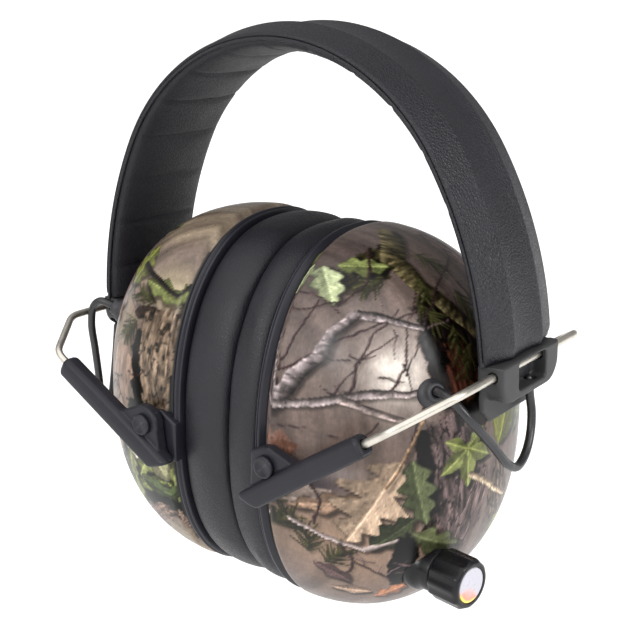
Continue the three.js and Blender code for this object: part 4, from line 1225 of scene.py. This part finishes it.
def trim_to_door(piece, side, grow, keep_inside):
    """Cuts a shell along the door's outline, keeps one part and closes the wall between its two skins."""
    low, high = door_region(grow)
    bm = bmesh.new()
    bm.from_mesh(piece.data)
    for axis, level in ((1, low[0]), (1, high[0]), (2, low[1]), (2, high[1])):
        inside = on_cup(side, np.array([0.0, level, 0.0]) if axis == 1 else np.array([0.0, 0.0, level])) * MM
        normal = Vector((0, 1, 0)) if axis == 1 else Vector((0, 0, 1))
        geometry = bm.verts[:] + bm.edges[:] + bm.faces[:]
        bmesh.ops.bisect_plane(bm, geom=geometry, dist=1e-7, plane_co=Vector(inside), plane_no=normal)
    drop = []
    for face in bm.faces:
        centre = np.array(face.calc_center_median()) / MM
        y, z = SIDES[side] * centre[1], centre[2] - PIVOT_Z
        within = low[0] < y < high[0] and low[1] < z < high[1]
        if within != keep_inside:
            drop.append(face)
    bmesh.ops.delete(bm, geom=drop, context="FACES")
    loose = [e for e in bm.edges if len(e.link_faces) == 1]
    bmesh.ops.bridge_loops(bm, edges=loose)
    bmesh.ops.recalc_face_normals(bm, faces=bm.faces)
    bm.to_mesh(piece.data)
    bm.free()
    piece.data.shade_smooth()
    return piece


def print_on(piece, side):
    """Paints the woodland print on a shell's outer skin as a colour attribute; its inner skin stays dark."""
    count = len(piece.data.vertices)
    co = np.zeros(count * 3)
    piece.data.vertices.foreach_get("co", co)
    co = co.reshape(-1, 3) / MM
    x = SIDES[side] * (co[:, 0] - MIDDLE_X)
    y, z = SIDES[side] * co[:, 1], co[:, 2] - PIVOT_Z
    k = (np.abs(y / HALF_Y) ** CUP_POWER + np.abs(z / HALF_Z) ** CUP_POWER) ** (1 / CUP_POWER)
    unroll = np.arcsin(np.clip(k, 1e-6, 1)) / np.clip(k, 1e-6, None)
    surface = np.clip((x - RIM_X) / DEPTH, 0, 1) ** CUP_POWER + k ** CUP_POWER
    outer = surface > 0.94  # 1 on the outer skin and less on the inner one
    colours = np.full((count, 4), (0.02, 0.02, 0.022, 1.0))
    paint = paint_right if side == "right" else paint_left
    colours[outer, :3] = paint((y * unroll)[outer], (z * unroll)[outer])
    layer = piece.data.color_attributes.new("print", "FLOAT_COLOR", "POINT")
    layer.data.foreach_set("color", colours.ravel())


def print_look():
    """The printed film on the shells: the painted colours under fine ink grain and a satin lacquer."""
    look = Look("camouflage_film", (0.2, 0.17, 0.15), 0.3, **{"Specular IOR Level": 0.25})
    ink = look.add("Attribute", attribute_name="print").outputs["Color"]
    ink = look.mix(1.0, ink, (0.80, 0.80, 0.82), "MULTIPLY")
    upright = look.add("VectorMath", {0: look.place, 1: (1.0, 1.0, 0.3)}, operation="MULTIPLY").outputs[0]
    grain, fine = look.noise(1500, 3, place=upright), look.noise(420, 5)
    tone = look.mix(look.ramp(grain, 0.32, 0.68, 0.0, 0.34), ink,
                    look.mix(1.0, ink, (0.42, 0.40, 0.40), "MULTIPLY"))
    tone = look.mix(look.ramp(fine, 0.52, 0.75, 0.0, 0.22), tone,
                    look.mix(1.0, ink, (1.7, 1.65, 1.6), "MULTIPLY"))
    look.set(look.shader, {"Base Color": tone, "Roughness": look.ramp(fine, 0.3, 0.7, 0.26, 0.36)})
    look.bump(look.noise(70, 2), 0.03)
    return look.material


def make_shells():
    film = print_look()
    for side in SIDES:
        piece = lofted(f"cup_{side}_shell", on_cup(side, shell_points()))
        if side == "left":
            trim_to_door(piece, side, DOOR["gap"], keep_inside=False)
            door = lofted("battery_door_skin", on_cup(side, shell_points()))
            trim_to_door(door, side, 0.0, keep_inside=True)
            print_on(door, side)
            finish_piece(door, film, "battery_door", ["battery_door"])
        print_on(piece, side)
        finish_piece(piece, film, f"cup_{side}", [f"cup_shell_{side}"])


def ring_profile():
    """(outwards, inset from the cup's outline) of the base ring's outer side: lip, groove, band and bevel."""
    low, high = RING["low"], RING["high"]
    lip = [(low, 3.2), (low, 1.35), (low + 0.12, 0.95), (low + 0.35, 0.8), (low + 0.58, 0.92),
           (low + 0.72, 1.3),
           (low + 0.92, 1.3), (low + 1.08, 0.55), (low + 1.3, 0.38)]
    return lip + [(low + 1.6, 0.36), (high - 1.6, 0.42), (high - 1.4, 0.6), (high - 0.25, 1.7),
                  (high, 2.0), (high, 3.6)]


def make_ring(side):
    around = 240
    ear_y, ear_z = 23.0, 33.0  # half sizes of the ear opening
    block_inner, block_outer = 38.5, 44.4  # faces of the pivot blocks
    rings = [np.column_stack([np.full(around, x), oval(HALF_Y - inset, HALF_Z - inset, around)])
             for x, inset in ring_profile()]
    back = [np.column_stack([np.full(around, x), oval(ear_y + grow, ear_z + grow, around)])
            for x, grow in ((RING["high"] - 1, 0), (RING["low"] + 0.6, 0), (RING["low"], 0.6))]
    rings = np.array(rings + back)
    rings[..., 2] = np.maximum(rings[..., 2], STAND_Z)
    piece = lofted(f"base_ring_{side}_moulding", on_cup(side, rings), closed_loop=True)
    finish_piece(piece, RING_PLASTIC, f"cup_{side}", [f"base_ring_{side}"])
    for where, sign in (("rear", 1), ("front", -1)):
        sign *= SIDES[side]
        low, high = sorted((sign * block_inner, sign * block_outer))
        solid = plate("pivot", lambda p: on_cup(side, p), BLOCK_OUTLINE, low, high, 1, bevel=0.5)
        boss = moulded(f"pivot_block_{where}_{side}", [solid], voxel=0.35, smooth=4)
        finish_piece(boss, RING_PLASTIC, f"cup_{side}")


def cushion_section():
    """(outwards, share from the ear opening to the outline, held) round a cushion's section."""
    thick = CUSHION["high"] - CUSHION["low"]
    outer = [(0.0, 0.80), (0.15, 0.88), (0.7, 0.945), (1.6, 0.975), (3.2, 0.992), (5.4, 1.0), (7.6, 1.0),
             (9.6, 0.992),
             (11.4, 0.978), (thick - 1.1, 0.955), (thick - 0.5, 0.925), (thick - 0.1, 0.86), (thick, 0.78)]
    ring_face = [(thick, share) for share in (0.66, 0.54, 0.42, 0.30, 0.2)]
    inner = [(thick - 0.8, 0.06), (thick - 3.0, 0.0), (8.0, -0.02), (5.0, 0.0), (2.6, 0.05), (0.9, 0.13),
             (0.15, 0.24)]
    meeting = [(0.0, share) for share in (0.34, 0.46, 0.58, 0.70)]
    return [(x, share, 1.0 if x > thick - 0.6 else 0.0) for x, share in outer + ring_face + inner + meeting]


def make_cushion(side):
    """Ring cushion: a leather sack held at the ring, swollen by cloth and flat where the two cups meet."""
    around = 176
    outer = oval(HALF_Y - CUSHION["inset"], HALF_Z - CUSHION["inset"], around)
    inner = oval(CUSHION["ear_y"], CUSHION["ear_z"], around, 2.1)
    section = cushion_section()
    press = CUSHION["low"] + MEET * SIDES[side]
    stretch = (CUSHION["high"] - press) / (CUSHION["high"] - CUSHION["low"])
    rings = [np.column_stack([np.full(around, press + x * stretch), inner + (outer - inner) * share])
             for x, share, _ in section]
    points = np.stack(rings, axis=1)
    pinned = np.tile([held for _, _, held in section], around)
    piece = lofted(f"cushion_{side}_leather", on_cup(side, points), closed_loop=True)
    puff(piece, pinned, pressure=3, cap=0.45)
    co = np.array([v.co for v in piece.data.vertices]) / MM
    out = np.maximum(SIDES[side] * (co[:, 0] - MIDDLE_X), press)
    co[:, 0] = MIDDLE_X + SIDES[side] * out
    co[:, 2] = np.maximum(co[:, 2], 0.2)
    piece.data.vertices.foreach_set("co", (co * MM).ravel())
    finish_piece(piece, SKIN, f"cup_{side}", [f"cushion_{side}"])
    smooth = piece.modifiers.new("fine", "SUBSURF")
    smooth.levels = smooth.render_levels = 1


def aimed(side, y, z, yaw, pitch):
    """Places a shape on the cup at (y, z), its z axis outwards, turned by yaw and pitch degrees."""
    a, p = math.radians(yaw), math.radians(pitch)
    out = np.array([math.cos(p) * math.cos(a), math.cos(p) * math.sin(a), -math.sin(p)])
    first = np.array([-math.sin(a), math.cos(a), 0.0])
    second = np.cross(out, first)
    foot = np.array([float(dome_x(np.array(y), np.array(z))), y, z])
    return lambda q: on_cup(side, foot + q[..., 2:] * out + q[..., :1] * first + q[..., 1:2] * second)


def make_gland(side):
    s = SIDES[side]
    place = aimed(side, -s * GLAND["y"], GLAND["z"], -s * GLAND["yaw"], -GLAND["pitch"])
    profile = [(0.05, -2.5), (4.2, -2.5), (4.1, -0.2), (3.7, 0.7), (3.1, 1.15), (2.75, 1.6), (2.6, 2.2),
               (2.5, 2.9),
               (2.15, 3.3), (1.7, 3.4), (1.35, 3.2), (1.3, 1.5), (0.05, 1.2)]
    piece = turned(f"gland_{side}_boot", profile, place, 40)
    finish_piece(piece, BOOT, f"cup_{side}", [f"lead_gland_{side}"])


make_shells()
for side in SIDES:
    make_ring(side)
    make_cushion(side)
    make_gland(side)


# ---- volume control ---------------------------------------------------------------------------
def knob_place():
    """Places a shape along the knob's axis, from the foot of its collar."""
    joint = JOINTS["knob_turn"]
    foot, out = np.array(joint["pos_m"]) / MM, np.array(joint["axis"])
    first = np.cross([0.0, 0.0, 1.0], out)
    first /= np.linalg.norm(first)
    second = np.cross(out, first)
    return lambda q: foot + q[..., 2:] * out + q[..., :1] * first + q[..., 1:2] * second


SECTOR_ANGLE = -115  # degrees, the middle of the disc's warm sector


def disc_look():
    """Satin silver disc with a warm sector and a thin yellow rim, drawn in the knob's own axes."""
    look = Look("knob_disc_print", (0.5, 0.5, 0.52), 0.28, Metallic=0.0)
    joint = JOINTS["knob_turn"]
    place = knob_place()
    first, second = (np.array(place(np.array([v]))[0]) - np.array(place(np.zeros((1, 3)))[0])
                     for v in ((1.0, 0, 0), (0, 1.0, 0)))
    foot = Vector(joint["pos_m"])
    from_foot = look.add("VectorMath", {0: look.place, 1: foot}, operation="SUBTRACT").outputs[0]
    a, b = (look.add("VectorMath", {0: from_foot, 1: Vector(v)}, operation="DOT_PRODUCT").outputs["Value"]
            for v in (first, second))
    angle = look.math("ARCTAN2", b, a)
    radius = look.math("SQRT", look.math("ADD", look.math("MULTIPLY", a, a), look.math("MULTIPLY", b, b)))
    towards = look.math("COSINE", look.math("SUBTRACT", angle, math.radians(SECTOR_ANGLE)))
    sector = look.ramp(towards, 0.45, 0.8)
    pale = look.ramp(radius, 0.0005, 0.0045)
    colour = look.mix(look.math("MULTIPLY", sector, pale), (0.46, 0.45, 0.5), (0.95, 0.22, 0.1))
    colour = look.mix(look.ramp(look.math("MULTIPLY", sector, look.ramp(radius, 0.0036, 0.0046)), 0.3, 0.9),
                      colour, (0.95, 0.62, 0.12))
    look.set(look.shader, {"Base Color": colour, "Roughness": look.ramp(look.noise(900), 0.3, 0.7, 0.24,
                                                                        0.36)})
    return look.material


def make_knob():
    place = knob_place()
    collar, gap, length, facets, radius = 3.9, 0.3, 10.0, 12, 7.0
    profile = [(0.05, -5.5), (7.4, -5.5), (7.3, -2.2), (6.9, -0.9), (6.35, 0.0), (6.2, 1.2), (6.15, 3.4),
               (5.9, 3.9),
               (3.7, 3.9), (3.7, 0.5), (0.05, 0.4)]
    piece = turned("knob_collar_moulding", profile, place, 56)
    finish_piece(piece, KNOB_PLASTIC, "cup_right", ["knob_collar"])
    start, end = collar + gap, collar + gap + length
    steps = facets * 10
    angle = np.linspace(0, 2 * math.pi, steps, endpoint=False)
    sector = math.pi / facets
    flat = math.cos(sector) / np.cos((angle % (2 * sector)) - sector)
    polygon = flat + 0.012 * np.cos(angle * facets)
    rings = []
    for inset, height, roundness in (
        (4.0, start, 1), (0.5, start, 0.5), (0.1, start + 0.25, 0), (0.0, start + 0.8, 0),
        (0.0, end - 1.5, 0),
        (0.12, end - 0.9, 0.2), (0.5, end - 0.3, 0.7), (0.9, end - 0.05, 1), (1.3, end, 1),
        (1.75, end - 0.05, 1),
        (1.95, end - 0.15, 1), (2.0, end - 0.7, 1), (radius - 0.05, end - 0.7, 1),
    ):
        r = (radius - inset) * (polygon * (1 - roundness) + roundness)
        rings.append(place(np.stack([r * np.cos(angle), r * np.sin(angle), np.full(steps, height)], axis=1)))
    knob = lofted("knob_body", rings)
    finish_piece(knob, KNOB_PLASTIC, "knob", ["volume_knob"])
    disc = turned("knob_face", [(0.05, end - 0.75), (4.9, end - 0.75), (4.9, end - 0.12), (4.75, end - 0.03),
                                (4.5, end + 0.02), (0.05, end + 0.05)], place, 56)
    finish_piece(disc, disc_look(), "knob", ["knob_disc"])


make_knob()


# ---- carried-over CAD nodes -------------------------------------------------------------------
def dress_nodes():
    """Materials of the hidden CAD parts that stay as they are."""
    board, cell = board_look("circuit_board"), cell_look("battery_sleeve")
    for name, node in frame["nodes"].items():
        if node.hide_render:
            continue
        look = PLASTIC
        for start, material in (("ring_screw", STEEL), ("spring_strip", STEEL), ("potentiometer", STEEL),
                                ("ear_foam", FOAM), ("speaker", BOOT), ("circuit_board", board),
                                ("battery_1", cell), ("battery_2", cell)):
            if name.startswith(start):
                look = material
        node.data.materials.clear()
        node.data.materials.append(look)


dress_nodes()


# ---- studio -----------------------------------------------------------------------------------
FLOOR_RADIUS = 60  # metres, past the corners of the picture
FLOOR_LEVEL = -52  # low enough for the cups when the yokes are swung right out


def make_studio():
    bpy.ops.mesh.primitive_circle_add(vertices=96, radius=FLOOR_RADIUS, fill_type="NGON")
    floor = bpy.context.object
    floor.name = "floor"
    floor.location.z = FLOOR_LEVEL * MM
    look = Look("pale_floor", (0.93, 0.93, 0.93), 0.9, **{"Specular IOR Level": 0.1})
    look.set(look.shader, {"Roughness": look.ramp(look.noise(6), 0.3, 0.7, 0.85, 0.95),
                           "Emission Color": (1, 1, 1, 1), "Emission Strength": 0.22})
    floor.data.materials.append(look.material)
    world = bpy.data.worlds.new("studio")
    world.use_nodes = True
    bpy.context.scene.world = world
    world.node_tree.nodes["Background"].inputs[0].default_value = (1, 1, 1, 1)
    world.node_tree.nodes["Background"].inputs[1].default_value = 0.34
    for name, kind, place, size, power in (("sun", "SUN", (0.1, -0.9, 1.4), math.radians(110), 3.0),
                                           ("key", "AREA", (0.0, -1.1, 0.6), 0.3, 3.5),
                                           ("side", "AREA", (1.05, 0.12, 0.62), 0.45, 7.0)):
        lamp = bpy.data.lights.new(name, kind)
        lamp.energy = power
        if kind == "SUN":
            lamp.angle = size
        else:
            lamp.shape, lamp.size = "DISK", size
        light = bpy.data.objects.new(name, lamp)
        light.location = place
        towards = Vector((0, 0, 0.08)) - Vector(place)  # the middle of the part
        light.rotation_euler = towards.to_track_quat("-Z", "Y").to_euler()
        bpy.context.scene.collection.objects.link(light)
    bpy.context.scene.view_settings.view_transform = "Standard"


make_studio()
